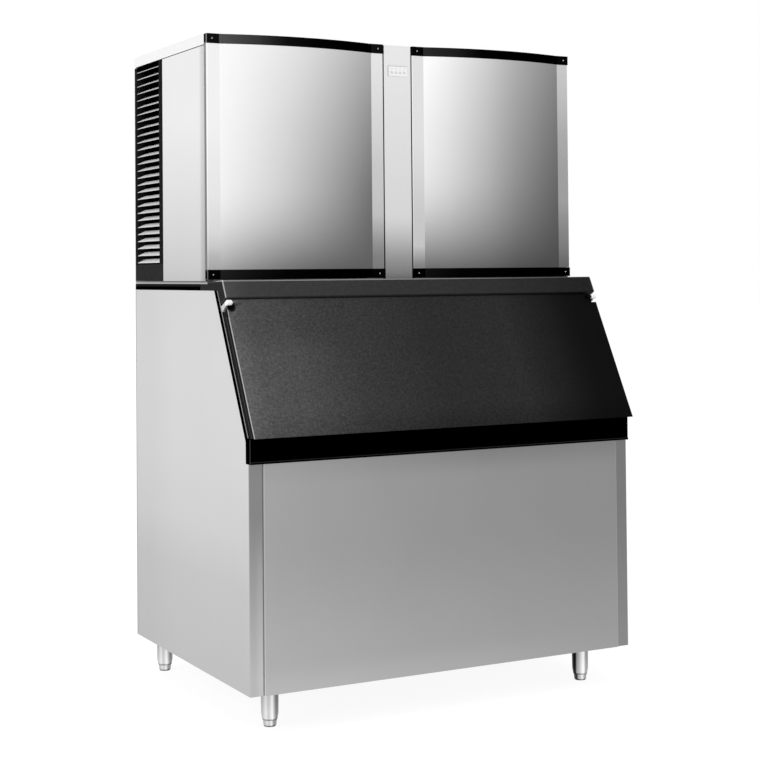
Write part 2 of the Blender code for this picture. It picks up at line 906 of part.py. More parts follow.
def bin_liner():
    """Moulded liner that holds the ice, open at the top and at the sloped door opening."""
    reach = half_width - WALL
    outline = liner_outline(LINER, bin_top, 0)
    made = prism("bin_liner", [outline], "YZ", -reach - LINER, reach + LINER, white_plastic())
    hollow = liner_outline(0, bin_top + OVERRUN, OVERRUN)
    space = prism("liner_hollow", [hollow], "YZ", -reach, reach)
    soften(space, LINER_CORNER, LINER_CORNER_STEPS)
    return cut(made, space, drain_hole("liner_drain_hole"))


def bin_drain():
    """Drain pipe with a flange on the liner's floor."""
    seat = bin_bottom + FLOOR + GAP
    top = seat + DRAIN_FLANGE_THICKNESS
    low = bin_bottom - DRAIN_BELOW
    profile = [
        (DRAIN_BORE, top),
        (DRAIN_FLANGE, top),
        (DRAIN_FLANGE, seat),
        (DRAIN_RADIUS, seat),
        (DRAIN_RADIUS, low),
        (DRAIN_BORE, low),
    ]
    return turned("bin_drain", profile, drain_place(), grey_plastic(), loop=True)


def bin_top_rim():
    """Black rim round the sides and back of the bin's top, on which the head stands."""
    front = fascia_rear + GAP
    inner = half_width - WALL
    outline = [
        (-half_width, front),
        (-half_width, back_y),
        (half_width, back_y),
        (half_width, front),
        (inner, front),
        (inner, back_y - WALL),
        (-inner, back_y - WALL),
        (-inner, front),
    ]
    return prism("bin_top_rim", [outline], "XY", rim_bottom, rim_top, black_plastic())


def top_fascia():
    """Grained black moulding over the door, its ends running back along the bin's sides."""
    out = door_outer + FASCIA_PROUD
    fascia_top = rim_top + FASCIA_RISE
    head_face = head_front - GAP
    outline = [
        (fascia_rear, rim_bottom),
        (fascia_rear, rim_top),
        (head_face, rim_top),
        (head_face, rim_top + FASCIA_REAR_RISE),
        slope_at(fascia_top, out),
        on_slope(fascia_foot, out),
        on_slope(fascia_foot, frame_face + GAP),
        slope_at(rim_bottom, frame_face + GAP),
    ]
    made = prism("top_fascia", [outline], "YZ", -half_width, half_width, grained_black())
    return soften(made, FASCIA_EDGE)


def door_frame():
    """Black frame round the door opening: header, side members and the sill across the front."""
    seat = sill_foot + GAP
    behind = front_y - PANEL_RAISE - GAP
    bead = sill_face - SILL_BEAD
    outline = [
        (bead, sill_bottom),
        (bead, sill_bottom + SILL_BEAD_HEIGHT),
        (sill_face, sill_bottom + SILL_BEAD_HEIGHT + SILL_BEAD),
        (sill_face, sill_top),
        slope_at(sill_top, FRAME),
        slope_at(bin_top, FRAME),
        slope_at(bin_top, GAP),
        slope_front(foot_y - GAP, GAP),
        (foot_y - GAP, sill_bottom + GAP),
        (behind, sill_bottom + GAP),
        (behind, sill_bottom),
    ]
    made = prism("door_frame", [outline], "YZ", -half_width, half_width, black_plastic())
    inner = half_width - WALL
    opening = plug_outline(SILL_LAND, header_foot, inner)
    window = prism("door_opening", [opening], "SLOPE", -OVERRUN, FRAME + OVERRUN)
    over_skin = half_width - SHEET
    low = (-over_skin, behind, sill_bottom - OVERRUN)
    return cut(made, window, box("sill_rebate", low, (over_skin, foot_y + OVERRUN, seat)))


def door_outline(skin, open_by):
    """Side view of the door, drawn in by its skin and opened at the back by a given depth."""
    low = door_bottom + skin
    return [
        on_slope(door_head - skin, door_outer - skin),
        on_slope(door_head - skin, door_inner - open_by),
        slope_at(low, door_inner - open_by),
        slope_at(low, door_outer - skin),
    ]


def notch(name, side):
    """Corner cut out of the door round one hinge."""
    outline = [
        on_slope(door_head - NOTCH_DEPTH, door_inner - OVERRUN),
        on_slope(door_head - NOTCH_DEPTH, door_outer + OVERRUN),
        on_slope(door_head + OVERRUN, door_outer + OVERRUN),
        on_slope(door_head + OVERRUN, door_inner - OVERRUN),
    ]
    ends = sorted((side * notch_wall, side * (half_width + OVERRUN)))
    return prism(name, [outline], "YZ", *ends)


def hinge_axis():
    return (0, *on_slope(hinge_up, hinge_out))


def hinge_rod(name, side, radius, near, far):
    """A round bar on the hinge axis, between two distances from the machine's middle."""
    place = along_x(*hinge_axis())
    low, high = sorted((side * near, side * far))
    return rod(name, radius, low, high, place)


def door_panel():
    """Grained black door: a moulded shell with a solid top rail and a knuckle for each hinge."""
    reach = half_width - DOOR_SIDE_GAP
    axis = hinge_axis()
    outline = door_outline(0, 0)
    made = prism("door_panel", [outline], "YZ", -reach, reach, grained_black(), axis)
    soften(made, DOOR_EDGE)
    rail = door_outline(DOOR_SKIN, OVERRUN)
    top = door_head - NOTCH_DEPTH - DOOR_SKIN
    rail[0] = on_slope(top, door_outer - DOOR_SKIN)
    rail[1] = on_slope(top, door_inner - OVERRUN)
    hollow_reach = reach - DOOR_SKIN
    hollow = prism("door_hollow", [rail], "YZ", -hollow_reach, hollow_reach)
    cut(made, hollow)
    knuckle_end = knuckle_face - KNUCKLE_LENGTH
    bore_end = knuckle_face - HINGE_PIN_LENGTH - HINGE_SIDE_GAP
    bore_radius = HINGE_PIN_RADIUS + GAP
    for side, word in ((-1, "left"), (1, "right")):
        cut(made, notch("door_notch_" + word, side))
        join(made, hinge_rod("knuckle_" + word, side, KNUCKLE_RADIUS, knuckle_end, knuckle_face))
        bore = "knuckle_bore_" + word
        cut(made, hinge_rod(bore, side, bore_radius, bore_end, knuckle_face + OVERRUN))
    return made


def door_liner():
    """Inner pan of the door, with the raised plug that fills the opening."""
    axis = hinge_axis()
    reach = half_width - DOOR_SIDE_GAP - DOOR_SKIN - GAP
    top = door_head - NOTCH_DEPTH - DOOR_SKIN - GAP
    plate = [
        on_slope(top, door_inner),
        on_slope(top, door_inner + DOOR_SKIN),
        slope_at(door_bottom + DOOR_SKIN + GAP, door_inner + DOOR_SKIN),
        slope_at(door_bottom + DOOR_SKIN + GAP, door_inner),
    ]
    made = prism("door_liner", [plate], "YZ", -reach, reach, white_plastic(), axis)
    low = SILL_LAND + PLUG_CLEARANCE
    high = header_foot - PLUG_CLEARANCE
    inner = half_width - WALL - PLUG_CLEARANCE
    plug = plug_outline(low, high, inner)
    pocket = plug_outline(low + DOOR_SKIN, high - DOOR_SKIN, inner - DOOR_SKIN)
    join(made, prism("door_plug", [plug], "SLOPE", PLUG_SETBACK, door_inner + DOOR_SKIN / 2))
    base = PLUG_SETBACK + DOOR_SKIN
    cut(made, prism("door_pocket", [pocket], "SLOPE", base, door_inner + OVERRUN))
    return made


def plug_outline(low, high, reach):
    return [(-reach, low), (reach, low), (reach, high), (-reach, high)]


def door_gasket():
    """Flat seal round the opening, carried by the door."""
    near = GASKET_LAP
    far = GASKET_LAP + GASKET_WIDTH
    inner = half_width - WALL
    outer = plug_outline(SILL_LAND - far, header_foot + far, inner + far)
    inside = plug_outline(SILL_LAND - near, header_foot + near, inner + near)
    low = frame_face + GAP
    high = door_inner - GAP
    finish = black_rubber()
    return prism("door_gasket", [outer, inside], "SLOPE", low, high, finish, hinge_axis())


def hinge(name, side):
    """White hinge: foot and arm on the frame, a round barrel, and the pin on which the door turns."""
    back = frame_face + GAP
    seat = back + HINGE_FOOT / 2
    arm = [
        on_slope(hinge_up + HINGE_RADIUS - HINGE_STEP, hinge_out),
        on_slope(hinge_up + HINGE_FOOT_UP - HINGE_STEP, seat),
        on_slope(hinge_up - HINGE_FOOT_DOWN + HINGE_STEP, seat),
        on_slope(hinge_up - HINGE_RADIUS + HINGE_STEP, hinge_out),
    ]
    arm_outer = hinge_outer - HINGE_STEP
    ends = sorted((side * (arm_outer - HINGE_ARM), side * arm_outer))
    made = prism(name, [arm], "YZ", *ends, white_plastic())
    foot_outline = [
        on_slope(hinge_up + HINGE_FOOT_UP, back),
        on_slope(hinge_up + HINGE_FOOT_UP, back + HINGE_FOOT),
        on_slope(hinge_up - HINGE_FOOT_DOWN, back + HINGE_FOOT),
        on_slope(hinge_up - HINGE_FOOT_DOWN, back),
    ]
    ends = sorted((side * hinge_inner, side * hinge_outer))
    pin_end = notch_wall - HINGE_PIN_LENGTH
    return join(
        made,
        prism(name + "_foot", [foot_outline], "YZ", *ends),
        hinge_rod(name + "_barrel", side, HINGE_RADIUS, hinge_inner, hinge_outer),
        hinge_rod(name + "_pin", side, HINGE_PIN_RADIUS, pin_end, hinge_inner + HINGE_ARM),
    )


def leg_places():
    """Name, x and y of each leg."""
    front_x = half_width - LEG_INSET_FRONT_X
    rear_x = half_width - LEG_INSET_REAR_X
    front = front_y + LEG_INSET_FRONT
    rear = back_y - LEG_INSET_REAR
    return (
        ("front_left", -front_x, front),
        ("front_right", front_x, front),
        ("rear_left", -rear_x, rear),
        ("rear_right", rear_x, rear),
    )


def leg(name, x, y):
    """Stainless leg, tapered towards the foot, with a bore for the foot's stem."""
    top = bin_bottom - GAP
    low = FOOT_HEIGHT + FOOT_RING
    bore = STEM_RADIUS + STEM_CLEARANCE
    bore_top = FOOT_HEIGHT + STEM_LENGTH + STEM_CLEARANCE
    profile = [
        (0, top),
        (LEG_RADIUS, top),
        (LEG_WAIST_RADIUS, LEG_WAIST_HEIGHT),
        (LEG_END_RADIUS, low),
        (bore, low),
        (bore, bore_top),
        (0, bore_top),
    ]
    return turned(name, profile, upright(x, y, 0), bright_steel())


def foot(name, x, y):
    """Levelling foot on a threaded stem."""
    stem_top = FOOT_HEIGHT + STEM_LENGTH
    profile = [
        (0, stem_top),
        (STEM_RADIUS, stem_top),
        (STEM_RADIUS, FOOT_HEIGHT),
        (FOOT_RADIUS, FOOT_HEIGHT),
        (FOOT_TOE_RADIUS, FOOT_ROUND),
        (FOOT_TOE_RADIUS - FOOT_ROUND / 2, 0),
        (0, 0),
    ]
    return turned(name, profile, upright(x, y, 0), bright_steel(), origin=(x, y, 0))


def head_base():
    """Shallow base pan of the head, with the opening through which the ice drops.

    Two rails along its front edge carry the caps of the front panels.
    """
    reach = half_width - HEAD_BASE_INSET
    front = head_front + HEAD_BASE_INSET
    low = (-reach, front, head_base_bottom)
    made = box("head_base", low, (reach, back_y, head_base_top), bright_steel())
    under = (-reach + SHEET, front + SHEET, head_base_bottom - OVERRUN)
    over = (reach - SHEET, back_y - SHEET, head_base_top - HEAD_BASE_SHEET)
    low = (drop_left, drop_front, head_base_bottom - OVERRUN)
    high = (drop_right, drop_back, head_base_top + OVERRUN)
    cut(made, box("head_base_pocket", under, over), box("ice_drop_hole", low, high))
    return join(made, cap_rail("cap_rail_left", -1), cap_rail("cap_rail_right", 1))


def cap_rail(name, side):
    near, far = panel_ends()
    ends = sorted((side * (near + CAP_RAIL_INSET), side * (far - CAP_RAIL_INSET)))
    low = (ends[0], head_front + CAP_RAIL_INSET, head_base_top - CAP_RAIL_LAP)
    high = (ends[1], head_front + PANEL_RETURN - CAP_RAIL_INSET, cap_seat - GAP)
    return box(name, low, high)


def head_side(name, side):
    """Stainless side of the head, ahead of the louvre, folded in at both ends."""
    rear = louvre_front - GAP
    path = [
        (half_width - CASING_FLANGE, casing_front),
        (half_width, casing_front),
        (half_width, rear),
        (half_width - CASING_FLANGE, rear),
    ]
    path = rounded(path, BEND - SHEET, BEND_STEPS)
    outline = mirrored(sheet_outline(path, SHEET), side)
    return prism(name, [outline], "XY", casing_bottom, casing_top, brushed_steel())


def louvre_window():
    """Low and high corner of the louvre's window, in (y, z)."""
    low = (louvre_front + LOUVRE_FRONT_BAR, casing_bottom + LOUVRE_BOTTOM_BAR)
    high = (back_inside - LOUVRE_REAR_BAR, casing_top - LOUVRE_TOP_BAR)
    return low, high


def louvre(name, side):
    """Black air grille: a frame with sloped slats, each rising inwards from the outer face."""
    outer = half_width - LOUVRE_INSET
    inner = outer - LOUVRE_DEPTH
    low, high = louvre_window()
    frame = [
        (louvre_front, casing_bottom),
        (back_inside, casing_bottom),
        (back_inside, casing_top),
        (louvre_front, casing_top),
    ]
    window = [low, (high[0], low[1]), high, (low[0], high[1])]
    ends = sorted((side * inner, side * outer))
    made = prism(name, [frame, window], "YZ", *ends, black_enamel())
    face = outer - SLAT_SETBACK
    back = inner + SLAT_SETBACK
    slats = bmesh.new()
    room = high[1] - low[1] - SLAT_START - SLAT_RISE - SLAT_THICKNESS
    for index in range(math.floor(room / SLAT_PITCH) + 1):
        foot_z = low[1] + SLAT_START + index * SLAT_PITCH
        section = [
            (side * face, foot_z),
            (side * face, foot_z + SLAT_THICKNESS),
            (side * back, foot_z + SLAT_RISE + SLAT_THICKNESS),
            (side * back, foot_z + SLAT_RISE),
        ]
        slat(slats, section, low[0] - SLAT_LAP, high[0] + SLAT_LAP)
    bmesh.ops.recalc_face_normals(slats, faces=slats.faces)
    return join(made, add_object(name + "_slats", mesh_from(slats, name), None))


def slat(work, section, front, rear):
    """One slat, drawn from its section at the front to the rear."""
    verts = [work.verts.new((x, front, z)) for x, z in section]
    face = work.faces.new(verts)
    drawn = bmesh.ops.extrude_face_region(work, geom=[face], use_keep_orig=True)
    moved = [item for item in drawn["geom"] if isinstance(item, bmesh.types.BMVert)]
    bmesh.ops.translate(work, vec=(0, rear - front, 0), verts=moved)


def fitting_place(x):
    return along_y(x, back_y, casing_bottom + FITTING_RISE)


def head_back_panel():
    """Stainless back of the head, with slots that let the warm air out."""
    low = (-half_width, back_y - SHEET, casing_bottom)
    made = box("head_back_panel", low, (half_width, back_y, casing_top), brushed_steel())
    middle = VENT_FROM_SIDE - half_width
    first = casing_bottom + VENT_FOOT
    for index in range(math.floor((casing_top - VENT_HEADROOM - first) / VENT_PITCH)):
        foot_z = first + index * VENT_PITCH
        low = (middle - VENT_WIDTH / 2, back_y - OVERRUN, foot_z)
        high = (middle + VENT_WIDTH / 2, back_y + OVERRUN, foot_z + VENT_HEIGHT)
        cut(made, box(f"vent_{index + 1}", low, high))
    for name, radius, x in (("inlet", INLET_RADIUS, inlet_x), ("gland", GLAND_RADIUS, gland_x)):
        cut(made, rod(name + "_hole", radius + GAP, -OVERRUN, OVERRUN, fitting_place(x)))
    return made


def head_top_panel():
    """Stainless top cover with a flange turned down all round."""
    front = head_front + PANEL_RETURN + GAP
    low = (-half_width, front, HEIGHT - TOP_FLANGE)
    made = box("head_top_panel", low, (half_width, back_y, HEIGHT), brushed_steel())
    under = (-half_width + SHEET, front + SHEET, HEIGHT - TOP_FLANGE - OVERRUN)
    over = (half_width - SHEET, back_y - SHEET, HEIGHT - SHEET)
    return cut(made, box("head_top_pocket", under, over))


def centre_pillar():
    """Stainless pillar between the two front panels."""
    reach = PILLAR_WIDTH / 2
    rear = head_front + PANEL_RETURN
    path = [(-reach, rear), (-reach, head_front), (reach, head_front), (reach, rear)]
    outline = sheet_outline(rounded(path, BEND - SHEET, BEND_STEPS), SHEET)
    top = HEIGHT - PILLAR_DROP
    return prism("centre_pillar", [outline], "XY", casing_bottom, top, brushed_steel())


def panel_ends():
    """Nearest and farthest x of a front panel, on the right."""
    return PILLAR_WIDTH / 2 + PILLAR_SEAM, half_width - PANEL_SIDE_INSET


def front_panel(name, side):
    """Bowed stainless cover with a flat strip down each end."""
    near, far = panel_ends()
    rear = head_front + PANEL_RETURN
    ends = [(near, rear), (near, head_front), (near + PANEL_STRIP, head_front)]
    path = rounded(ends, BEND - SHEET, BEND_STEPS)[:-1]
    first = (near + PANEL_STRIP, head_front)
    last = (far - PANEL_STRIP, head_front)
    path += arc(first, last, PANEL_BULGE, PANEL_ARC_STEPS)
    ends = [last, (far, head_front), (far, rear)]
    path += rounded(ends, BEND - SHEET, BEND_STEPS)[1:]
    outline = mirrored(sheet_outline(path, SHEET), side)
    low = cap_seat + CAP_HEIGHT + GAP
    high = HEIGHT - CAP_HEIGHT - GAP
    made = prism(name, [outline], "XY", low, high, brushed_steel())
    made.data.shade_smooth()
    made.data.set_sharp_from_angle(angle=math.radians(12))
    return made


def cap(name, side, low):
    """Black moulding that closes one end of a front panel."""
    near, far = panel_ends()
    near -= GAP
    far = half_width
    rear = head_front + PANEL_RETURN
    face = head_front - CAP_PROUD
    first = (near + PANEL_STRIP, face)
    last = (far - PANEL_SIDE_INSET - PANEL_STRIP, face)
    outline = [(near, rear), (near, face)]
    outline += arc(first, last, PANEL_BULGE, PANEL_ARC_STEPS)
    outline += [(far, face), (far, rear)]
    outline = mirrored(outline, side)
    made = prism(name, [outline], "XY", low, low + CAP_HEIGHT, black_plastic())
    return soften(made, CAP_EDGE)


def button_places():
    """Name, x and z of each push button."""
    z = HEIGHT - CONTROL_DROP - CONTROL_HEIGHT / 2 - BUTTON_DROP
    first = -BUTTON_PITCH * (BUTTON_COUNT - 1) / 2
    return [
        (f"push_button_{index + 1}", first + index * BUTTON_PITCH, z)
        for index in range(BUTTON_COUNT)
    ]


def control_plate():
    """White plate on the pillar, with a hole for each button."""
    face = head_front - GAP - CONTROL_THICKNESS
    top = HEIGHT - CONTROL_DROP
    low = (-CONTROL_WIDTH / 2, face, top - CONTROL_HEIGHT)
    high = (CONTROL_WIDTH / 2, head_front - GAP, top)
    made = soften(box("control_plate", low, high, white_plastic()), CONTROL_CORNER)
    for name, x, z in button_places():
        place = along_y(x, head_front, z)
        hole = rod(name + "_hole", BUTTON_RADIUS + GAP, -OVERRUN, OVERRUN, place)
        cut(made, hole)
    return made


def push_button(name, x, z):
    """Round button that stands a little proud of its plate."""
    face = head_front - GAP - CONTROL_THICKNESS - BUTTON_PROUD
    profile = [
        (0, BUTTON_DEPTH),
        (BUTTON_RADIUS, BUTTON_DEPTH),
        (BUTTON_RADIUS, BUTTON_EDGE),
        (BUTTON_RADIUS - BUTTON_EDGE, 0),
        (0, 0),
    ]
    place = along_y(x, face, z)
    return turned(name, profile, place, grey_plastic(), origin=(x, face, z))


def line_hole(name, y, z):
    place = along_x(0, y, z)
    return rod(name, LINE_RADIUS + LINE_CLEARANCE, -OVERRUN, OVERRUN, place)


def line_routes():
    """Height and y where the suction and liquid lines pass the bulkhead."""
    y = freezer_back + LINE_SPACING / 2
    return (y, evaporator_top - SUCTION_DROP), (y, evaporator_top - LIQUID_DROP)


def bulkhead():
    """Sheet between the machine side and the wet side."""
    low = (-SHEET / 2, head_front + BULKHEAD_SETBACK, casing_bottom)
    high = (SHEET / 2, back_inside - SHEET - GAP, interior_top)
    made = box("bulkhead", low, high, zinc_sheet())
    suction, liquid = line_routes()
    return cut(made, line_hole("suction_hole", *suction), line_hole("liquid_hole", *liquid))


def compressor():
    """Welded steel compressor shell on its foot flange."""
    low = casing_bottom
    shoulder = compressor_top - COMPRESSOR_DOME
    inner = COMPRESSOR_RADIUS - COMPRESSOR_WALL
    profile = [(0, compressor_top)]
    profile += dome(COMPRESSOR_RADIUS, shoulder, COMPRESSOR_DOME)
    profile += [
        (COMPRESSOR_RADIUS, low + COMPRESSOR_FOOT),
        (COMPRESSOR_RADIUS + COMPRESSOR_FLANGE, low + COMPRESSOR_FOOT),
        (COMPRESSOR_RADIUS + COMPRESSOR_FLANGE, low),
        (inner, low),
        (inner, shoulder),
        (inner - COMPRESSOR_DOME / 2, compressor_top - COMPRESSOR_DOME / 2),
        (0, compressor_top - COMPRESSOR_DOME / 2),
    ]
    place = upright(compressor_x, compressor_y, 0)
    made = turned("compressor", profile, place, black_enamel())
    stubs = [
        rod(f"compressor_stub_{index + 1}", STUB_RADIUS, low, high, upright(x, y, 0))
        for index, (x, y, low, high) in enumerate(compressor_stubs())
    ]
    return join(made, *stubs)


def dome(radius, shoulder, height, steps=DOME_STEPS):
    """Quarter ellipse from the top of a dome to its shoulder."""
    points = []
    for step in range(1, steps + 1):
        angle = math.pi / 2 * step / steps
        points.append((radius * math.sin(angle), shoulder + height * math.cos(angle)))
    return points


def compressor_stubs():
    """x, y, foot and top of the two pipe stubs on the compressor's dome."""
    foot_z = compressor_top - COMPRESSOR_DOME
    return (
        (compressor_x - COMPRESSOR_RADIUS / 2, compressor_y, foot_z, stub_top),
        (compressor_x + COMPRESSOR_RADIUS / 2, compressor_y, foot_z, stub_top),
    )


def condenser():
    """Finned condenser behind the louvre, with the hood that holds the fan opening."""
    front = fan_y - condenser_width / 2
    rear = fan_y + condenser_width / 2
    low = (condenser_outer, front, casing_bottom)
    made = box("condenser", low, (condenser_inner, rear, condenser_top), fin_aluminium())
    pitch = (condenser_top - casing_bottom - CONDENSER_BORDER) / CONDENSER_FIN_COUNT
    for index in range(CONDENSER_FIN_COUNT):
        foot_z = casing_bottom + CONDENSER_BORDER + index * pitch
        low = (condenser_outer - OVERRUN, front + CONDENSER_BORDER, foot_z)
        high = (
            condenser_outer + CONDENSER_FIN_DEPTH,
            rear - CONDENSER_BORDER,
            foot_z + CONDENSER_FIN_SLOT,
        )
        cut(made, box(f"fin_slot_{index + 1}", low, high))
    low = (condenser_inner - SHROUD_WALL, front, casing_bottom)
    hood = box("hood", low, (shroud_face, rear, condenser_top))
    low = (condenser_inner, front + SHROUD_WALL, casing_bottom + SHROUD_WALL)
    high = (shroud_face - SHROUD_WALL, rear - SHROUD_WALL, condenser_top - SHROUD_WALL)
    place = along_x(0, fan_y, fan_z)
    hole_low = condenser_inner + SHROUD_WALL
    hole = rod("fan_hole", FAN_RADIUS + FAN_TIP_GAP, hole_low, shroud_face + OVERRUN, place)
    join(made, hood)
    return cut(made, box("hood_hollow", low, high), hole)


def fan_motor():
    """Fan motor on a stand from the base pan, bored for the fan's shaft."""
    place = along_x(0, fan_y, fan_z)
    far = motor_face + MOTOR_LENGTH
    profile = [
        (0, far),
        (MOTOR_RADIUS - MOTOR_EDGE, far),
        (MOTOR_RADIUS, far - MOTOR_EDGE),
        (MOTOR_RADIUS, motor_face + MOTOR_EDGE),
        (MOTOR_RADIUS - MOTOR_EDGE, motor_face),
        (0, motor_face),
    ]
    made = turned("fan_motor", profile, place, black_enamel())
    middle = (motor_face + far) / 2
    low = (middle - MOTOR_STAND_THICKNESS / 2, fan_y - MOTOR_STAND_WIDTH / 2, casing_bottom)
    high = (middle + MOTOR_STAND_THICKNESS / 2, fan_y + MOTOR_STAND_WIDTH / 2, fan_z)
    stand = box("motor_stand", low, high)
    low = (middle - MOTOR_STAND_FOOT / 2, fan_y - MOTOR_STAND_WIDTH / 2, casing_bottom)
    high = (
        middle + MOTOR_STAND_FOOT / 2,
        fan_y + MOTOR_STAND_WIDTH / 2,
        casing_bottom + MOTOR_STAND_FOOT_HEIGHT,
    )
    bore = FAN_SHAFT_RADIUS + FAN_SHAFT_CLEARANCE
    hole = rod("shaft_bore", bore, motor_face - OVERRUN, shaft_end() + GAP, place)
    join(made, stand, box("motor_stand_foot", low, high))
    return cut(made, hole)


def shaft_end():
    return shroud_face + FAN_HUB_LENGTH / 2 + FAN_SHAFT_LENGTH


def fan_blade():
    """Fan: hub, pitched blades and the shaft that enters the motor."""
    axis = (shroud_face, fan_y, fan_z)
    place = along_x(0, fan_y, fan_z)
    half_hub = FAN_HUB_LENGTH / 2
    profile = [
        (0, shaft_end()),
        (FAN_SHAFT_RADIUS, shaft_end()),
        (FAN_SHAFT_RADIUS, shroud_face + half_hub),
        (FAN_HUB_RADIUS, shroud_face + half_hub),
        (FAN_HUB_RADIUS, shroud_face - half_hub),
        (0, shroud_face - half_hub),
    ]
    made = turned("fan_blade", profile, place, grey_plastic(), origin=axis)
    for index in range(FAN_BLADE_COUNT):
        work = bmesh.new()
        bmesh.ops.create_cube(work, size=1.0)
        inner = FAN_HUB_RADIUS / 2
        size = (FAN_BLADE_THICKNESS, FAN_BLADE_WIDTH, FAN_RADIUS - FAN_BLADE_THICKNESS - inner)
        turn = Matrix.Rotation(math.tau * index / FAN_BLADE_COUNT, 4, "X")
        pitch = Matrix.Rotation(FAN_BLADE_PITCH, 4, "Z")
        out = Matrix.Translation((0, 0, inner + size[2] / 2))
        stretch = Matrix.Diagonal((*size, 1.0))
        spot = Matrix.Translation(axis) @ turn @ pitch @ out @ stretch
        bmesh.ops.transform(work, matrix=spot, verts=work.verts)
        name = f"fan_vane_{index + 1}"
        join(made, add_object(name, mesh_from(work, name), None))
    return made


def control_box():
    """Box of controls hung on the bulkhead, behind the pillar."""
    right = -SHEET / 2 - GAP
    top = interior_top - CONTROL_BOX_DROP
    front = head_front + BULKHEAD_SETBACK
    low = (right - CONTROL_BOX_WIDTH, front, top - CONTROL_BOX_HEIGHT)
    high = (right, front + CONTROL_BOX_DEPTH, top)
    return soften(box("control_box", low, high, grey_plastic()), CONTROL_BOX_EDGE, segments=1)


def freezer_liner():
    """White compartment round the evaporator, open at the front and over the ice drop."""
    low = (freezer_left, freezer_front, casing_bottom)
    high = (freezer_right, freezer_back, freezer_top)
    made = box("freezer_liner", low, high, white_plastic())
    low = (freezer_left + FREEZER_WALL, freezer_front - OVERRUN, casing_bottom - OVERRUN)
    high = (freezer_right - FREEZER_WALL, freezer_wall_face, freezer_top - FREEZER_WALL)
    cut(made, box("freezer_space", low, high))
    for name, x, z in evaporator_ports():
        place = along_y(x, freezer_back, z)
        cut(made, rod(name + "_hole", LINE_RADIUS + LINE_CLEARANCE, -OVERRUN, OVERRUN, place))
    return made


def evaporator_ports():
    """Name, x and z where the copper lines reach the evaporator's back."""
    suction, liquid = line_routes()
    return (
        ("suction_port", evaporator_left + LINE_SPACING, suction[1]),
        ("liquid_port", evaporator_left + 2 * LINE_SPACING, liquid[1]),
    )


def evaporator():
    """Plated grid that freezes the cubes, on standoffs from the compartment's back wall."""
    low = (evaporator_left, evaporator_front, evaporator_bottom)
    high = (evaporator_right, evaporator_back, evaporator_top)
    made = box("evaporator", low, high, nickel_plate())
    width = (evaporator_right - evaporator_left - CELL_WALL) / CELL_COLUMNS
    height = (evaporator_top - evaporator_bottom - CELL_WALL) / CELL_ROWS
    cells = bmesh.new()
    for column in range(CELL_COLUMNS):
        for row in range(CELL_ROWS):
            left = evaporator_left + CELL_WALL + column * width
            foot_z = evaporator_bottom + CELL_WALL + row * height
            low = (left, evaporator_front - OVERRUN, foot_z)
            high = (
                left + width - CELL_WALL,
                evaporator_front + CELL_DEPTH,
                foot_z + height - CELL_WALL,
            )
            size = [b - a for a, b in zip(low, high)]
            middle = [(a + b) / 2 for a, b in zip(low, high)]
            place = Matrix.Translation(middle) @ Matrix.Diagonal((*size, 1.0))
            bmesh.ops.create_cube(cells, size=1.0, matrix=place)
    wall = freezer_wall_face - GAP
    far = evaporator_right - STANDOFF_INSET - STANDOFF
    for index, x in enumerate((evaporator_left + STANDOFF_INSET, far)):
        top = evaporator_top - STANDOFF_INSET - STANDOFF
        for end, z in enumerate((evaporator_bottom + STANDOFF_INSET, top)):
            low = (x, evaporator_back - CELL_WALL, z)
            high = (x + STANDOFF, wall, z + STANDOFF)
            join(made, box(f"standoff_{index + 1}_{end + 1}", low, high))
    ear_back = evaporator_front + EAR_LAP
    place = along_x(0, curtain_y, curtain_z)
    bore = CURTAIN_PIN_RADIUS + CURTAIN_PIN_CLEARANCE
    for side, (near, far) in enumerate(ear_ends()):
        low = (near, curtain_y - EAR_HEIGHT / 2, curtain_z - EAR_HEIGHT / 2)
        ear = box(f"curtain_ear_{side + 1}", low, (far, ear_back, curtain_z + EAR_HEIGHT / 2))
        join(made, ear)
        cut(made, rod(f"ear_bore_{side + 1}", bore, near - OVERRUN, far + OVERRUN, place))
    return cut(made, add_object("ice_cells", mesh_from(cells, "ice_cells"), None))


def ear_ends():
    """Inner and outer x of the two ears that carry the curtain; each laps one end of the grid."""
    return (
        (evaporator_left - EAR / 2, evaporator_left + EAR / 2),
        (evaporator_right - EAR / 2, evaporator_right + EAR / 2),
    )


def water_curtain():
    """Clear curtain that keeps the water on the grid and swings when the ice drops."""
    left_ear, right_ear = ear_ends()
    left = left_ear[1] + CURTAIN_SIDE_GAP
    right = right_ear[0] - CURTAIN_SIDE_GAP
    axis = (0, curtain_y, curtain_z)
    half = CURTAIN_THICKNESS / 2
    low = (left, curtain_y - half, evaporator_bottom - CURTAIN_BELOW)
    high = (right, curtain_y + half, curtain_z + half)
    made = box("water_curtain", low, high, clear_curtain(), axis)
    place = along_x(0, curtain_y, curtain_z)
    pin = rod("curtain_pin", CURTAIN_PIN_RADIUS, left_ear[0], right_ear[1], place, steps=CURTAIN_PIN_STEPS)
    return join(made, pin)


def water_trough():
    """Tray under the grid that holds the circulating water."""
    low = (trough_left, trough_front, trough_bottom)
    high = (trough_right, trough_back, trough_top)
    made = box("water_trough", low, high, grey_plastic())
    low = (trough_left + TROUGH_WALL, trough_front + TROUGH_WALL, trough_bottom + TROUGH_WALL)
    high = (trough_right - TROUGH_WALL, trough_back - TROUGH_WALL, trough_top + OVERRUN)
    return cut(made, box("trough_space", low, high))


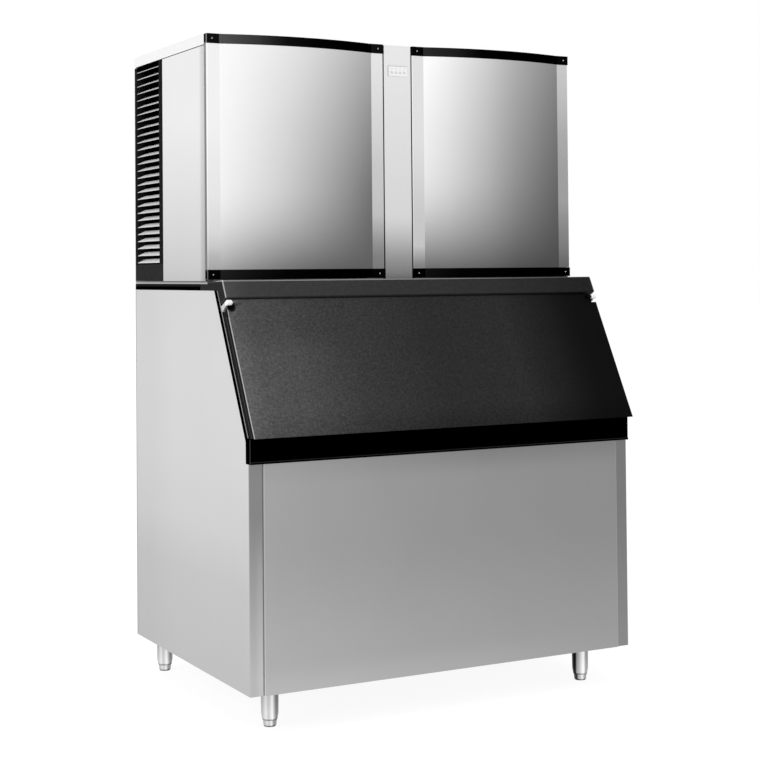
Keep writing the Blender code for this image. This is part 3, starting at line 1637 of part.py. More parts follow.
def water_pump():
    """Pump that stands on the trough's rim with its inlet in the water."""
    place = upright(pump_x, pump_y, 0)
    low = trough_bottom + TROUGH_WALL + PUMP_FLOOR_GAP
    volute_top = low + PUMP_VOLUTE_HEIGHT
    profile = [
        (0, pump_top),
        (PUMP_RADIUS, pump_top),
        (PUMP_RADIUS, pump_seat - PUMP_PLATE / 2),
        (PUMP_NECK, pump_seat - PUMP_PLATE / 2),
        (PUMP_NECK, volute_top),
        (PUMP_VOLUTE, volute_top),
        (PUMP_VOLUTE, low),
        (0, low),
    ]
    made = turned("water_pump", profile, place, black_enamel())
    half = PUMP_PLATE_WIDTH / 2
    low = (pump_x - half, trough_front, pump_seat - PUMP_PLATE)
    return join(made, box("pump_plate", low, (pump_x + half, trough_back, pump_seat)))


def distributor_tube():
    """Tube that lays the water along the grid's top, fed by a riser from the pump."""
    y = evaporator_front + EVAPORATOR_THICKNESS / 2
    z = evaporator_top + TUBE_RADIUS + GAP
    corners = [
        (evaporator_left, y, z),
        (pump_x, y, z),
        (pump_x, y, pump_top + GAP),
    ]
    return tube("distributor_tube", corners, TUBE_RADIUS, TUBE_BEND, white_plastic())


def discharge_line():
    """Hot gas line from the compressor to the head of the condenser."""
    x, y, _, top = compressor_stubs()[0]
    entry = condenser_top - LINE_SPACING
    entry_y = fan_y - condenser_width / 2 - GAP
    entry_x = (condenser_outer + condenser_inner) / 2
    corners = [
        (x, y, top + GAP),
        (x, y, line_level),
        (entry_x, y, line_level),
        (entry_x, y, entry),
        (entry_x, entry_y, entry),
    ]
    return tube("discharge_line", corners, LINE_RADIUS, LINE_BEND, copper_pipe())


def suction_line():
    """Cold gas line from the evaporator's back to the compressor."""
    (y, z), _ = line_routes()
    x, compressor_line_y, _, top = compressor_stubs()[1]
    port = evaporator_ports()[0]
    corners = [
        (port[1], evaporator_back + GAP, z),
        (port[1], y, z),
        (x, y, z),
        (x, y, line_level),
        (x, compressor_line_y, line_level),
        (x, compressor_line_y, top + GAP),
    ]
    return tube("suction_line", corners, LINE_RADIUS, LINE_BEND, copper_pipe())


def liquid_line():
    """Liquid line from the foot of the condenser, through its drier, to the evaporator."""
    _, (y, z) = line_routes()
    port = evaporator_ports()[1]
    outlet = casing_bottom + LINE_SPACING
    outlet_y = fan_y - condenser_width / 2 - GAP
    outlet_x = (condenser_outer + condenser_inner) / 2
    drier_x = -DRIER_FROM_BULKHEAD
    corners = [
        (outlet_x, outlet_y, outlet),
        (outlet_x, y, outlet),
        (drier_x, y, outlet),
        (drier_x, y, z),
        (port[1], y, z),
        (port[1], evaporator_back + GAP, z),
    ]
    made = tube_mesh("liquid_line", corners, LINE_RADIUS, LINE_BEND, copper_pipe())
    foot_z = (outlet + z - DRIER_LENGTH) / 2
    profile = [
        (0, foot_z + DRIER_LENGTH),
        (DRIER_NECK, foot_z + DRIER_LENGTH),
        (DRIER_RADIUS, foot_z + DRIER_LENGTH - DRIER_TAPER),
        (DRIER_RADIUS, foot_z + DRIER_TAPER),
        (DRIER_NECK, foot_z),
        (0, foot_z),
    ]
    drier = turned("drier", profile, upright(drier_x, y, 0))
    return join(made, drier)


def rear_fitting(name, radius, bore, x, finish):
    """Pipe fitting or gland through the head's back, with a flange outside."""
    profile = [
        (bore, FITTING_PROUD),
        (radius, FITTING_PROUD),
        (radius, GAP + FITTING_FLANGE_THICKNESS),
        (FITTING_FLANGE, GAP + FITTING_FLANGE_THICKNESS),
        (FITTING_FLANGE, GAP),
        (radius, GAP),
        (radius, -FITTING_INSIDE),
        (bore, -FITTING_INSIDE),
    ]
    return turned(name, profile, fitting_place(x), finish, loop=True)


def build_bin():
    bin_side("bin_side_left", -1)
    bin_side("bin_side_right", 1)
    bin_front_panel()
    bin_back_panel()
    bin_base()
    bin_insulation()
    bin_liner()
    bin_drain()
    bin_top_rim()
    top_fascia()
    door_frame()
    for name, x, y in leg_places():
        leg("leg_" + name, x, y)
        foot("foot_" + name, x, y)


def build_door():
    door_panel()
    door_liner()
    door_gasket()
    hinge("hinge_left", -1)
    hinge("hinge_right", 1)


def build_head():
    head_base()
    head_side("head_side_left", -1)
    head_side("head_side_right", 1)
    louvre("louvre_left", -1)
    louvre("louvre_right", 1)
    head_back_panel()
    head_top_panel()
    centre_pillar()
    for side, word in ((-1, "left"), (1, "right")):
        front_panel("front_panel_" + word, side)
        cap("cap_top_" + word, side, HEIGHT - CAP_HEIGHT)
        cap("cap_bottom_" + word, side, cap_seat)
    control_plate()
    for name, x, z in button_places():
        push_button(name, x, z)


def build_machine_side():
    bulkhead()
    compressor()
    condenser()
    fan_motor()
    fan_blade()
    control_box()
    discharge_line()
    liquid_line()
    suction_line()
    rear_fitting("water_inlet", INLET_RADIUS, INLET_BORE, inlet_x, brass_fitting())
    rear_fitting("power_gland", GLAND_RADIUS, GLAND_BORE, gland_x, black_plastic())


def build_wet_side():
    freezer_liner()
    evaporator()
    water_curtain()
    water_trough()
    water_pump()
    distributor_tube()


for existing in list(bpy.data.objects):
    bpy.data.objects.remove(existing, do_unlink=True)
parts = new_collection("commercial_ice_maker", True)
cutters = new_collection("cutters", False)
build_bin()
build_door()
build_head()
build_machine_side()
build_wet_side()
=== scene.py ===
import math

import bmesh
import bpy
from mathutils import Matrix, Vector


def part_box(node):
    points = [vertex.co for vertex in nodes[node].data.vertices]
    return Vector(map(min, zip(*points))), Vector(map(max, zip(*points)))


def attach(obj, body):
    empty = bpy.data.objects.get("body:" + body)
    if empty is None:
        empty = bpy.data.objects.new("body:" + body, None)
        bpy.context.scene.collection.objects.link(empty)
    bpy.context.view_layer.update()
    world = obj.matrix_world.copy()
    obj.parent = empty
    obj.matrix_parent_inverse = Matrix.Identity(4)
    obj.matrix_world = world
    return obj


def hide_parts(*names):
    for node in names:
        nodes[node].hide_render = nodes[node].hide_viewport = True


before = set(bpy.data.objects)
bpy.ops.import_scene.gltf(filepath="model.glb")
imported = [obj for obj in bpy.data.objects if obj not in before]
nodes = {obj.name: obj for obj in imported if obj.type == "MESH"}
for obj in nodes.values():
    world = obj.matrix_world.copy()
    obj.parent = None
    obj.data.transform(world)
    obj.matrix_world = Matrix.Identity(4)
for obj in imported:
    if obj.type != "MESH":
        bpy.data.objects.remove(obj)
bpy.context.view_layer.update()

# Camera. It stands in front and to the left, looks nearly level from just above the door, and is
# shifted down, as a camera with a rising front is, so that upright edges stay upright.
image_side = 760
focal = 1622.7
centre_across, centre_down = 369.15, 237.31
sensor = 36
stand = Vector((-2.3286, -4.3906, 1.2278))
yaw, pitch, roll = (math.radians(angle) for angle in (27.682, -1.284, -0.494))
level_ahead = Vector((math.sin(yaw), math.cos(yaw), 0))
ahead = level_ahead * math.cos(pitch) - Vector((0, 0, 1)) * math.sin(pitch)
level_up = Vector((0, 0, 1)) * math.cos(pitch) + level_ahead * math.sin(pitch)
level_right = Vector((math.cos(yaw), -math.sin(yaw), 0))
right = level_right * math.cos(roll) + level_up * math.sin(roll)
up = level_up * math.cos(roll) - level_right * math.sin(roll)


def placed(name, data):
    """An object with this data, put in the scene."""
    made = bpy.data.objects.new(name, data)
    bpy.context.scene.collection.objects.link(made)
    return made


camera = placed("camera", bpy.data.cameras.new("camera"))
camera.matrix_world = Matrix.Translation(stand) @ Matrix((right, up, -ahead)).transposed().to_4x4()
camera.data.sensor_width = sensor
camera.data.lens = focal / image_side * sensor
camera.data.shift_x = (image_side / 2 - centre_across) / image_side
camera.data.shift_y = (centre_down - image_side / 2) / image_side
bpy.context.scene.camera = camera
bpy.context.scene.view_settings.view_transform = "Standard"


# Room. A white seamless floor and white surroundings, with soft lamps at the left, the front and
# overhead. The camera and polished metal see nearly plain white, with a soft shadow under the legs.
class Shade:
    """One output of a node tree. Sums with numbers or other outputs add Math nodes."""

    def __init__(self, tree, socket):
        self.tree = tree
        self.socket = socket

    def math(self, operation, *values):
        return self.tree.node("ShaderNodeMath", {"operation": operation}, dict(enumerate(values)))

    def __add__(self, other):
        return self.math("ADD", self, other)

    def __sub__(self, other):
        return self.math("SUBTRACT", self, other)

    def __rsub__(self, other):
        return self.math("SUBTRACT", other, self)

    def __mul__(self, other):
        return self.math("MULTIPLY", self, other)

    def __truediv__(self, other):
        return self.math("DIVIDE", self, other)

    def __pow__(self, other):
        return self.math("POWER", self, other)

    def __gt__(self, other):
        return self.math("GREATER_THAN", self, other)

    def __lt__(self, other):
        return self.math("LESS_THAN", self, other)

    __radd__ = __add__
    __rmul__ = __mul__

    def rise(self, low, high, smooth=True):
        """0 up to low, 1 from high, and a ramp between them."""
        settings = {"interpolation_type": "SMOOTHSTEP" if smooth else "LINEAR"}
        return self.tree.node("ShaderNodeMapRange", settings, {0: self, 1: low, 2: high})

    def along(self, *stops):
        """A value that runs in straight lines through stops of (place, value)."""
        value = stops[0][1]
        for (low, before), (high, after) in zip(stops, stops[1:]):
            value = value + self.rise(low, high, smooth=False) * (after - before)
        return value

    def size(self):
        return self.math("ABSOLUTE", self)


class Tree:
    """A node tree, with one way to add a node to it."""

    def __init__(self, tree):
        self.tree = tree

    def node(self, kind, settings=None, sockets=None, output=0):
        made = self.tree.nodes.new(kind)
        for name, value in (settings or {}).items():
            setattr(made, name, value)
        for key, value in (sockets or {}).items():
            self.put(made.inputs[key], value)
        return Shade(self, made.outputs[output])

    def put(self, socket, value):
        if isinstance(value, Shade):
            self.tree.links.new(value.socket, socket)
        else:
            socket.default_value = value


def seen_share(tree):
    """1 on a ray from the camera, or by way of something polished or clear, and 0 on other light."""
    ray = tree.tree.nodes.new("ShaderNodeLightPath").outputs
    kinds = ("Is Camera Ray", "Is Glossy Ray", "Is Transmission Ray")
    return sum(Shade(tree, ray[kind]) for kind in kinds).rise(0, 1, smooth=False)


world = bpy.data.worlds.new("surroundings")
world.use_nodes = True
bpy.context.scene.world = world
air = Tree(world.node_tree)
ambient = 0.55
strength = seen_share(air) * (1 - ambient) + ambient
backdrop = world.node_tree.nodes["Background"]
backdrop.inputs["Color"].default_value = (1, 1, 1, 1)
air.put(backdrop.inputs["Strength"], strength)

floor_mesh = bpy.data.meshes.new("floor")
floor_half = 40
corners = [(-floor_half, -floor_half, 0), (floor_half, -floor_half, 0), (floor_half, floor_half, 0)]
floor_mesh.from_pydata([*corners, (-floor_half, floor_half, 0)], [], [(0, 1, 2, 3)])
floor = placed("floor", floor_mesh)
floor_finish = bpy.data.materials.new("floor_paper")
floor_finish.use_nodes = True
paper = Tree(floor_finish.node_tree)
paper_white = (0.95, 0.95, 0.95, 1)
glow_power = 1.1
most_glow = 0.82
lit = paper.node("ShaderNodeBsdfDiffuse", None, {"Color": paper_white})
glow = paper.node("ShaderNodeEmission", None, {"Color": (1, 1, 1, 1), "Strength": glow_power})
blend = paper.node("ShaderNodeMixShader", None, {0: seen_share(paper) * most_glow, 1: lit, 2: glow})
paper.put(floor_finish.node_tree.nodes["Material Output"].inputs["Surface"], blend)
floor_mesh.materials.append(floor_finish)


def lamp(name, place, power, softness):
    """A wide soft light shining from this direction, that doesn't show in the machine's metal."""
    light = bpy.data.lights.new(name, "SUN")
    light.angle = math.radians(softness)
    light.energy = power
    made = placed(name, light)
    made.rotation_euler = Vector(place).to_track_quat("Z", "Y").to_euler()
    made.visible_glossy = False


lamp("lamp_left", place=(-4.5, -1.4, 2.6), power=1.15, softness=40)
lamp("lamp_front", place=(1.5, -5.0, 3.0), power=0.25, softness=50)
lamp("lamp_above", place=(0, -0.5, 5.5), power=0.55, softness=60)


# Storage bin skins. Brushed stainless sheet 1.2 mm thick: two sides and a back, folded at their
# edges and screwed together, and a galvanized base pan. The grain of the steel runs upright.
screen_white, screen_gamma = 255, 2.2


class Finish(Tree):
    """A material with one Principled shader: fixed values sit on its sockets, what varies is linked."""

    def __init__(self, name, sockets):
        self.material = bpy.data.materials.new(name)
        self.material.use_nodes = True
        super().__init__(self.material.node_tree)
        self.shader = self.tree.nodes["Principled BSDF"]
        self.place = self.node("ShaderNodeTexCoord", output="Object")
        split = self.node("ShaderNodeSeparateXYZ", None, {0: self.place}).socket.node.outputs
        self.x, self.y, self.z = (Shade(self, split[axis]) for axis in "XYZ")
        self.wear(sockets)

    def wear(self, sockets):
        for name, value in sockets.items():
            self.put(self.shader.inputs[name], value)

    def noise(self, scale, detail=2.0, stretch=(1, 1, 1), roughness=0.5):
        """Noise around 0.5, whose cells are 1/scale across and drawn out along the small stretches."""
        spread = self.node("ShaderNodeMapping", None, {0: self.place, 3: stretch})
        sockets = {"Vector": spread, "Scale": scale, "Detail": detail, "Roughness": roughness}
        return self.node("ShaderNodeTexNoise", None, sockets)

    def bump(self, height, distance, strength=1.0):
        sockets = {"Height": height, "Distance": distance, "Strength": strength}
        self.wear({"Normal": self.node("ShaderNodeBump", None, sockets)})

    def tone(self, level):
        """Grey from a level between 0 and 255, a number that may vary over the surface."""
        value = (level / screen_white) ** screen_gamma
        colour = self.node("ShaderNodeCombineColor", None, {0: value, 1: value, 2: value})
        self.wear({"Base Color": colour})


grain_upright, grain_across = (900, 900, 6), (6, 900, 900)
grain_tones, cloud_tones = 5, 4
grain_roughness, grain_height = 0.10, 0.00002


def brushed(name, level, stretch=grain_upright, roughness=0.30):
    """Stainless sheet whose grain runs the way of the smallest stretch. level(finish) is its grey, with
    the painted reflection and shade that most callers put in.
    """
    finish = Finish(name, {"Metallic": 0.85})
    grain = finish.noise(1.0, 3.0, stretch)
    cloud = finish.noise(5.0, 2.0)
    finish.tone(level(finish) + (grain - 0.5) * grain_tones + (cloud - 0.5) * cloud_tones)
    finish.wear({"Roughness": grain * grain_roughness + (roughness - grain_roughness / 2)})
    finish.bump(grain, grain_height, 0.25)
    return finish.material


def dress(finish, *names):
    """Puts this finish on CAD nodes."""
    for name in names:
        nodes[name].data.materials.clear()
        nodes[name].data.materials.append(finish)


bin_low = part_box("bin_side_left")[0]
front_y = bin_low.y
sheet = 0.0012
fold_start, fold = 0.0004, 0.004
# Painted reflection and shade of the room on the sides' steel, as grey levels.
side_stops = ((0.15, 182), (0.38, 187), (0.52, 199), (0.72, 206), (1.0, 210))
left_corner_stops, right_corner_stops = ((0.15, 186), (0.585, 133)), ((0.12, 135), (0.55, 118))
rear_start, rear_end, rear_shade_fall = 0.1, 0.35, 5
inner_edge_start, inner_edge_end, painted_corner_highlight = -0.602, -0.585, 9


def bin_side_level(finish):
    """Painted reflection and shade: darker towards the floor and the rear. The strip round each front
    corner has its own painted reflection tones, with a painted highlight along its inner edge.
    """
    side = finish.z.along(*side_stops) + finish.y * -4
    side = side - finish.y.rise(rear_start, rear_end) * rear_shade_fall
    inner_highlight = finish.x.rise(inner_edge_start, inner_edge_end) * (1 - finish.z.rise(0.4, 0.6))
    left_corner = finish.z.along(*left_corner_stops) + inner_highlight * painted_corner_highlight
    right_corner = finish.z.along(*right_corner_stops)
    at_right = finish.x > 0
    corner = left_corner * (1 - at_right) + right_corner * at_right
    on_front = 1 - finish.y.rise(front_y + fold_start, front_y + fold)
    return side * (1 - on_front) + corner * on_front


# Painted reflection: the back is lighter upwards.
def bin_back_level(finish):
    return 205 + finish.z.rise(0.2, 1.1) * 8


dress(brushed("bin_side_steel", bin_side_level), "bin_side_left", "bin_side_right")
dress(brushed("bin_back_steel", bin_back_level), "bin_back_panel")

base_finish = Finish("galvanized_base", {"Metallic": 0.9})
spangle = base_finish.noise(60, 3)
base_finish.tone(spangle * 50 + 130)
base_finish.wear({"Roughness": spangle * 0.2 + 0.35})
dress(base_finish.material, "bin_base")


# Back screws. Stainless pan-head screws with a cross recess, 8 mm across, hold the back panel's edges
# to the folded flanges of the bin's sides. Each head is turned from a short cone and its cross cut in.
class Growth(Tree):
    """A Geometry Nodes tree. Its named inputs follow the points that it grows on."""

    def __init__(self, name, inputs):
        super().__init__(bpy.data.node_groups.new(name, "GeometryNodeTree"))
        sockets = {"Points": "NodeSocketGeometry", **inputs, "Finish": "NodeSocketMaterial"}
        for label, kind in sockets.items():
            self.tree.interface.new_socket(label, in_out="INPUT", socket_type=kind)
        self.tree.interface.new_socket("Grown", in_out="OUTPUT", socket_type="NodeSocketGeometry")
        self.given = self.tree.nodes.new("NodeGroupInput").outputs
        self.result = self.tree.nodes.new("NodeGroupOutput").inputs[0]

    def take(self, label):
        return Shade(self, self.given[label])

    def join(self, *shapes):
        joined = self.tree.nodes.new("GeometryNodeJoinGeometry")
        for shape in shapes:
            self.put(joined.inputs[0], shape)
        return Shade(self, joined.outputs[0])

    def end(self, shape, rotation=(0, 0, 0)):
        """Puts a copy on each point, makes the copies real and gives them their finish."""
        copies = {"Points": self.take("Points"), "Instance": shape, "Rotation": rotation}
        copies = self.node("GeometryNodeInstanceOnPoints", None, copies)
        real = self.node("GeometryNodeRealizeInstances", None, {0: copies})
        sockets = {"Geometry": real, "Material": self.take("Finish")}
        self.put(self.result, self.node("GeometryNodeSetMaterial", None, sockets))

    def grow(self, name, body, points, finish, **values):
        """Grows one plain mesh on the points and lets it ride on a body."""
        seed = bpy.data.meshes.new(name + "_points")
        seed.from_pydata(points, [], [])
        piece = placed(name, seed)
        modifier = piece.modifiers.new("growth", "NODES")
        modifier.node_group = self.tree
        values["Finish"] = finish
        for socket in self.tree.interface.items_tree:
            if socket.in_out == "INPUT" and socket.name in values:
                modifier[socket.identifier] = values[socket.name]
        graph = bpy.context.evaluated_depsgraph_get()
        grown = bpy.data.meshes.new_from_object(piece.evaluated_get(graph))
        piece.modifiers.clear()
        piece.data = grown
        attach(piece, body)
        return piece


screw_sizes = {"Radius": "NodeSocketFloat", "Height": "NodeSocketFloat"}
screw = Growth("pan_head_screw", {**screw_sizes, "Facing": "NodeSocketVector"})
screw_radius, screw_height = screw.take("Radius"), screw.take("Height")
crown_share = 0.62
cone = {"Vertices": 14, "Radius Top": screw_radius * crown_share, "Radius Bottom": screw_radius}
head = screw.node("GeometryNodeMeshCone", None, {**cone, "Depth": screw_height})
cross_length_share, cross_width_share = 1.1, 0.2
cross_ways = ((cross_length_share, cross_width_share), (cross_width_share, cross_length_share))
slots = []
for across, along in cross_ways:
    slot_size = {0: screw_radius * across, 1: screw_radius * along, 2: screw_height}
    slot_size = screw.node("ShaderNodeCombineXYZ", None, slot_size)
    slots.append(screw.node("GeometryNodeMeshCube", None, {"Size": slot_size}))
lifted = screw.node("ShaderNodeCombineXYZ", None, {2: screw_height})
cross = {0: screw.join(*slots), "Translation": lifted}
cross = screw.node("GeometryNodeTransform", None, cross)
head = screw.node("GeometryNodeMeshBoolean", {"operation": "DIFFERENCE"}, {0: head, 1: cross})
facing = {"Vector": screw.take("Facing")}
facing = screw.node("FunctionNodeAlignRotationToVector", {"axis": "Z"}, facing)
screw.end(head, facing)


def screw_finish(name, level):
    finish = Finish(name, {"Metallic": 0.8})
    cloud = finish.noise(500, 2)
    finish.tone(cloud * 20 + (level - 10))
    finish.wear({"Roughness": cloud * 0.15 + 0.25})
    return finish.material


def spaced(first, last, count):
    """Evenly spaced places from first to last."""
    return [first + (last - first) * step / (count - 1) for step in range(count)]


def edge_places(low, high, inset, across, upward):
    """Places round the edge of an upright panel, in (x, z)."""
    left, right, foot, top = low.x + inset, high.x - inset, low.z + inset, high.z - inset
    places = [(x, z) for x in spaced(left, right, across) for z in (foot, top)]
    return places + [(x, z) for x in (left, right) for z in spaced(foot, top, upward)[1:-1]]


back_screw_inset = 0.012
back_screws_across, back_screws_upward = 7, 5


def back_screws(name, panel):
    low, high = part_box(panel)
    places = edge_places(low, high, back_screw_inset, back_screws_across, back_screws_upward)
    made = screw.grow(
        name,
        "cabinet",
        [(x, high.y, z) for x, z in places],
        steel_screw,
        Radius=0.004,
        Height=0.0016,
        Facing=Vector((0, 1, 0)),
    )


steel_screw = screw_finish("screw_steel", 205)
back_screws("bin_back_screws", "bin_back_panel")


# Bin front. One stainless panel with a raised middle field between the sides' two corner strips, its
# ends folded back. A backing strip closes the seam at each end, behind the panel and the side.
front_low, front_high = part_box("bin_front_panel")
sill_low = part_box("door_frame")[0].z
# Painted reflection and shade of the room on the front steel, as grey levels.
front_tone, right_fall, middle_fall, floor_light_gain = 162, 24, 16, 14
foot_reach, floor_light_reach, shadow_reach = 0.42, 0.085, 0.075
floor_light_stops, shadow_stops = ((0, 10), (0.6, 9), (1, 2)), ((0, 4), (0.6, 16), (1, 11))
edge_start, edge_end = 0.0015, 0.0045
painted_edge_highlight = 14


def bin_front_level(finish):
    """Painted reflection that falls to the right, with a painted soft shadow under the sill, painted
    light from the floor at the hem and painted highlights along the field's folded edges.
    """
    across = finish.x.rise(front_low.x, front_high.x, smooth=False)
    foot = 1 - finish.z.rise(front_low.z, front_low.z + foot_reach)
    under_sill = finish.z.rise(sill_low - shadow_reach, sill_low + 0.005)
    painted_floor_light = 1 - finish.z.rise(front_low.z, front_low.z + floor_light_reach)
    field = front_tone - across * right_fall - across * (1 - across) * middle_fall + foot * floor_light_gain
    field = field + painted_floor_light * across.along(*floor_light_stops) - under_sill * across.along(*shadow_stops)
    left_edge = 1 - finish.x.rise(front_low.x + edge_start, front_low.x + edge_end)
    right_edge = finish.x.rise(front_high.x - edge_end, front_high.x - edge_start)
    return field + left_edge * painted_edge_highlight + right_edge * painted_edge_highlight


dress(brushed("bin_front_steel", bin_front_level), "bin_front_panel")


def settled(work, name, body, creases, edge):
    """Softens the creases of a worked mesh and turns it into a piece that rides on a body."""
    bmesh.ops.bevel(work, geom=creases, offset=edge, segments=2, profile=0.5, affect="EDGES")
    mesh = bpy.data.meshes.new(name)
    work.to_mesh(mesh)
    work.free()
    piece = placed(name, mesh)
    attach(piece, body)
    return piece


backing_finish = brushed("seam_backing_steel", lambda finish: 150 + finish.noise(30) * 4)
backing_half, backing_sheet, backing_edge = 0.008, 0.0008, 0.0001
backing_short, backing_gap = 0.003, 0.0001
backing_y = front_y + sheet + backing_gap
for seam_x, word in ((front_low.x, "left"), (front_high.x, "right")):
    low = Vector((seam_x - backing_half, backing_y, front_low.z + backing_short))
    high = Vector((seam_x + backing_half, low.y + backing_sheet, front_high.z - backing_short))
    work = bmesh.new()
    bmesh.ops.create_cube(work, size=1)
    place = Matrix.Translation((low + high) / 2) @ Matrix.Diagonal((*(high - low), 1))
    bmesh.ops.transform(work, matrix=place, verts=work.verts)
    backing = settled(work, "seam_backing_" + word, "cabinet", work.edges, backing_edge)
    backing.data.materials.append(backing_finish)


# Bin inside. A food-safe white liner moulded in one piece, yellow foam poured between it and the
# skins, and a grey drain spigot through the floor, sealed to the liner by its flange.
texture_tones, texture_roughness = 4, 0.1


def moulded(name, level, roughness=0.45, grain=400, depth=0.00005, specular=0.5):
    """Moulded plastic of one colour with a fine even texture."""
    finish = Finish(name, {"Specular IOR Level": specular})
    texture = finish.noise(grain, 2.0)
    finish.tone(level(finish) + (texture - 0.5) * texture_tones)
    finish.wear({"Roughness": texture * texture_roughness + (roughness - texture_roughness / 2)})
    finish.bump(texture, depth)
    return finish.material


liner_finish = moulded("liner_white", lambda finish: 232 + finish.noise(3) * 8)
dress(liner_finish, "bin_liner")
foam = Finish("foam_yellow", {"Roughness": 0.9})
cells = foam.node("ShaderNodeTexVoronoi", None, {"Vector": foam.place, "Scale": 300})
foam_mix = {"data_type": "RGBA"}
foam_colours = {0: cells, 6: (0.58, 0.44, 0.18, 1), 7: (0.78, 0.66, 0.36, 1)}
foam.wear({"Base Color": foam.node("ShaderNodeMix", foam_mix, foam_colours, output=2)})
foam.bump(cells, 0.0006)
dress(foam.material, "bin_insulation")
dress(moulded("drain_grey", lambda finish: 150 + finish.noise(40) * 10), "bin_drain")


# Legs and feet. Four polished stainless legs, each a stub of tube that narrows to a waist, welded
# to a plate under the base pan, and a nickel-plated foot that screws down out of each leg on an
# M16 stem. The upright bands in which the polish mirrors the room are painted reflection.
leg_reflection_bands = (
    *((-1.0, 172), (-0.82, 160), (-0.4, 214), (-0.05, 182)),
    *((0.34, 236), (0.6, 150), (0.74, 108), (1.0, 118)),
)
dark_edge_reflection = (
    *((-1.0, 12), (-0.9, 2), (-0.66, 4), (-0.5, 140), (-0.2, 172)),
    *((0.12, 226), (0.35, 236), (0.56, 150), (1.0, 116)),
)
corner_reflections = {"front_left": leg_reflection_bands, "front_right": dark_edge_reflection}
corner_reflections.update({"rear_left": leg_reflection_bands, "rear_right": leg_reflection_bands})


def banded(finish, centre, radius, bands):
    """Painted reflection: the upright bands that the polish mirrors round a leg or a foot. Its rear has
    the plain ones.
    """
    sideways = ((finish.x - centre.x) * math.cos(yaw) - (finish.y - centre.y) * math.sin(yaw)) / radius
    forwards = ((centre.x - finish.x) * math.sin(yaw) + (centre.y - finish.y) * math.cos(yaw)) / radius
    if bands is leg_reflection_bands:
        return sideways.along(*leg_reflection_bands)
    in_front = forwards.rise(-0.1, 0.3)
    return sideways.along(*bands) * in_front + sideways.along(*leg_reflection_bands) * (1 - in_front)


# Painted light from the floor near the foot and painted shade under the plate at the top; the lip is a
# dark ring at the foot's joint.
waist_reach, plate_reach = 0.07, 0.018
lip_start, lip_end = 0.002, 0.004
leg_floor_light_gain, plate_shade_fall, lip_fall = 24, 20, 62
for corner, bands in corner_reflections.items():
    low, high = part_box("leg_" + corner)
    leg = Finish("leg_steel_" + corner, {"Metallic": 0.95})
    centre = (low + high) / 2
    scratches = leg.noise(1.0, 2, (700, 700, 40))
    near_foot = 1 - leg.z.rise(low.z, low.z + waist_reach)
    near_top = leg.z.rise(high.z - plate_reach, high.z)
    lip = 1 - leg.z.rise(low.z + lip_start, low.z + lip_end)
    level = banded(leg, centre, (high.x - low.x) / 2, bands)
    level = level + near_foot * leg_floor_light_gain - near_top * plate_shade_fall - lip * lip_fall
    leg.tone(level + (scratches - 0.5) * 8)
    leg.wear({"Roughness": scratches * 0.08 + 0.12})
    dress(leg.material, "leg_" + corner)

thread_inputs = {label: "NodeSocketFloat" for label in ("Turns", "Radius", "Length")}
thread_turn = Growth("screw_thread", {**thread_inputs, "Facing": "NodeSocketVector"})
helix = {
    "Resolution": 14,
    "Rotations": thread_turn.take("Turns"),
    "Start Radius": thread_turn.take("Radius"),
    "End Radius": thread_turn.take("Radius"),
    "Height": thread_turn.take("Length"),
}
helix = thread_turn.node("GeometryNodeCurveSpiral", None, helix)
ridge_size = {"Resolution": 4, "Radius": 0.00045}
ridge = thread_turn.node("GeometryNodeCurvePrimitiveCircle", None, ridge_size)
ridge = {"Curve": helix, "Profile Curve": ridge, "Fill Caps": True}
ridge = thread_turn.node("GeometryNodeCurveToMesh", None, ridge)
facing = {"Vector": thread_turn.take("Facing")}
facing = thread_turn.node("FunctionNodeAlignRotationToVector", {"axis": "Z"}, facing)
thread_turn.end(ridge, facing)
stem_radius, thread_sink = 0.008, 0.0001
thread_length, thread_from_top = 0.046, 0.001
# Each foot wears the legs' painted reflection bands, and a painted contact shadow darkens its toe.
foot_radius, toe_low, toe_high, toe_shadow_depth = 0.0165, 0.002, 0.006, 105
foot_reflection_share, foot_tone = 0.8, 58
for corner, bands in corner_reflections.items():
    low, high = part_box("foot_" + corner)
    centre = (low + high) / 2
    foot = Finish("foot_nickel_" + corner, {"Metallic": 0.95})
    cloud = foot.noise(90, 2)
    toe_shadow = 1 - foot.z.rise(toe_low, toe_high)
    level = banded(foot, centre, foot_radius, bands) * foot_reflection_share + foot_tone
    foot.tone((cloud - 0.5) * 10 + level - toe_shadow * toe_shadow_depth)
    foot.wear({"Roughness": cloud * 0.1 + 0.14})
    dress(foot.material, "foot_" + corner)
    root = [(centre.x, centre.y, high.z - thread_length - thread_from_top)]
    thread = thread_turn.grow(
        "stem_thread_" + corner,
        corner + "_foot",
        root,
        steel_screw,
        Turns=23.0,
        Radius=stem_radius - thread_sink,
        Length=thread_length,
        Facing=Vector((0, 0, 1)),
    )


# Door frame, fascia and rim. Black moulded plastic: the frame clips over the edge of the bin mouth
# and ends in a deep gloss sill, the fascia covers the bin's top front edge, and the rim seals it.
# Their rounded edges carry a painted highlight, a pale line.
slope = math.radians(28)
slope_foot_y = front_y + 0.020
slope_foot_z = front_high.z
machine_end = -bin_low.x
sill_rise = 0.012
frame_edge_start, frame_edge_end = 0.0172, 0.0184
bead_low, bead_high, bead_blur = 0.7288, 0.7320, 0.0008
sill_nose_start, sill_nose_end = -0.0075, -0.0055
frame_highlight, sill_highlight, bead_highlight = 158, 62, 40


def outward(finish):
    """Distance out from the bin's slope, square to it."""
    return (finish.y - slope_foot_y) * -math.cos(slope) + (finish.z - slope_foot_z) * math.sin(slope)


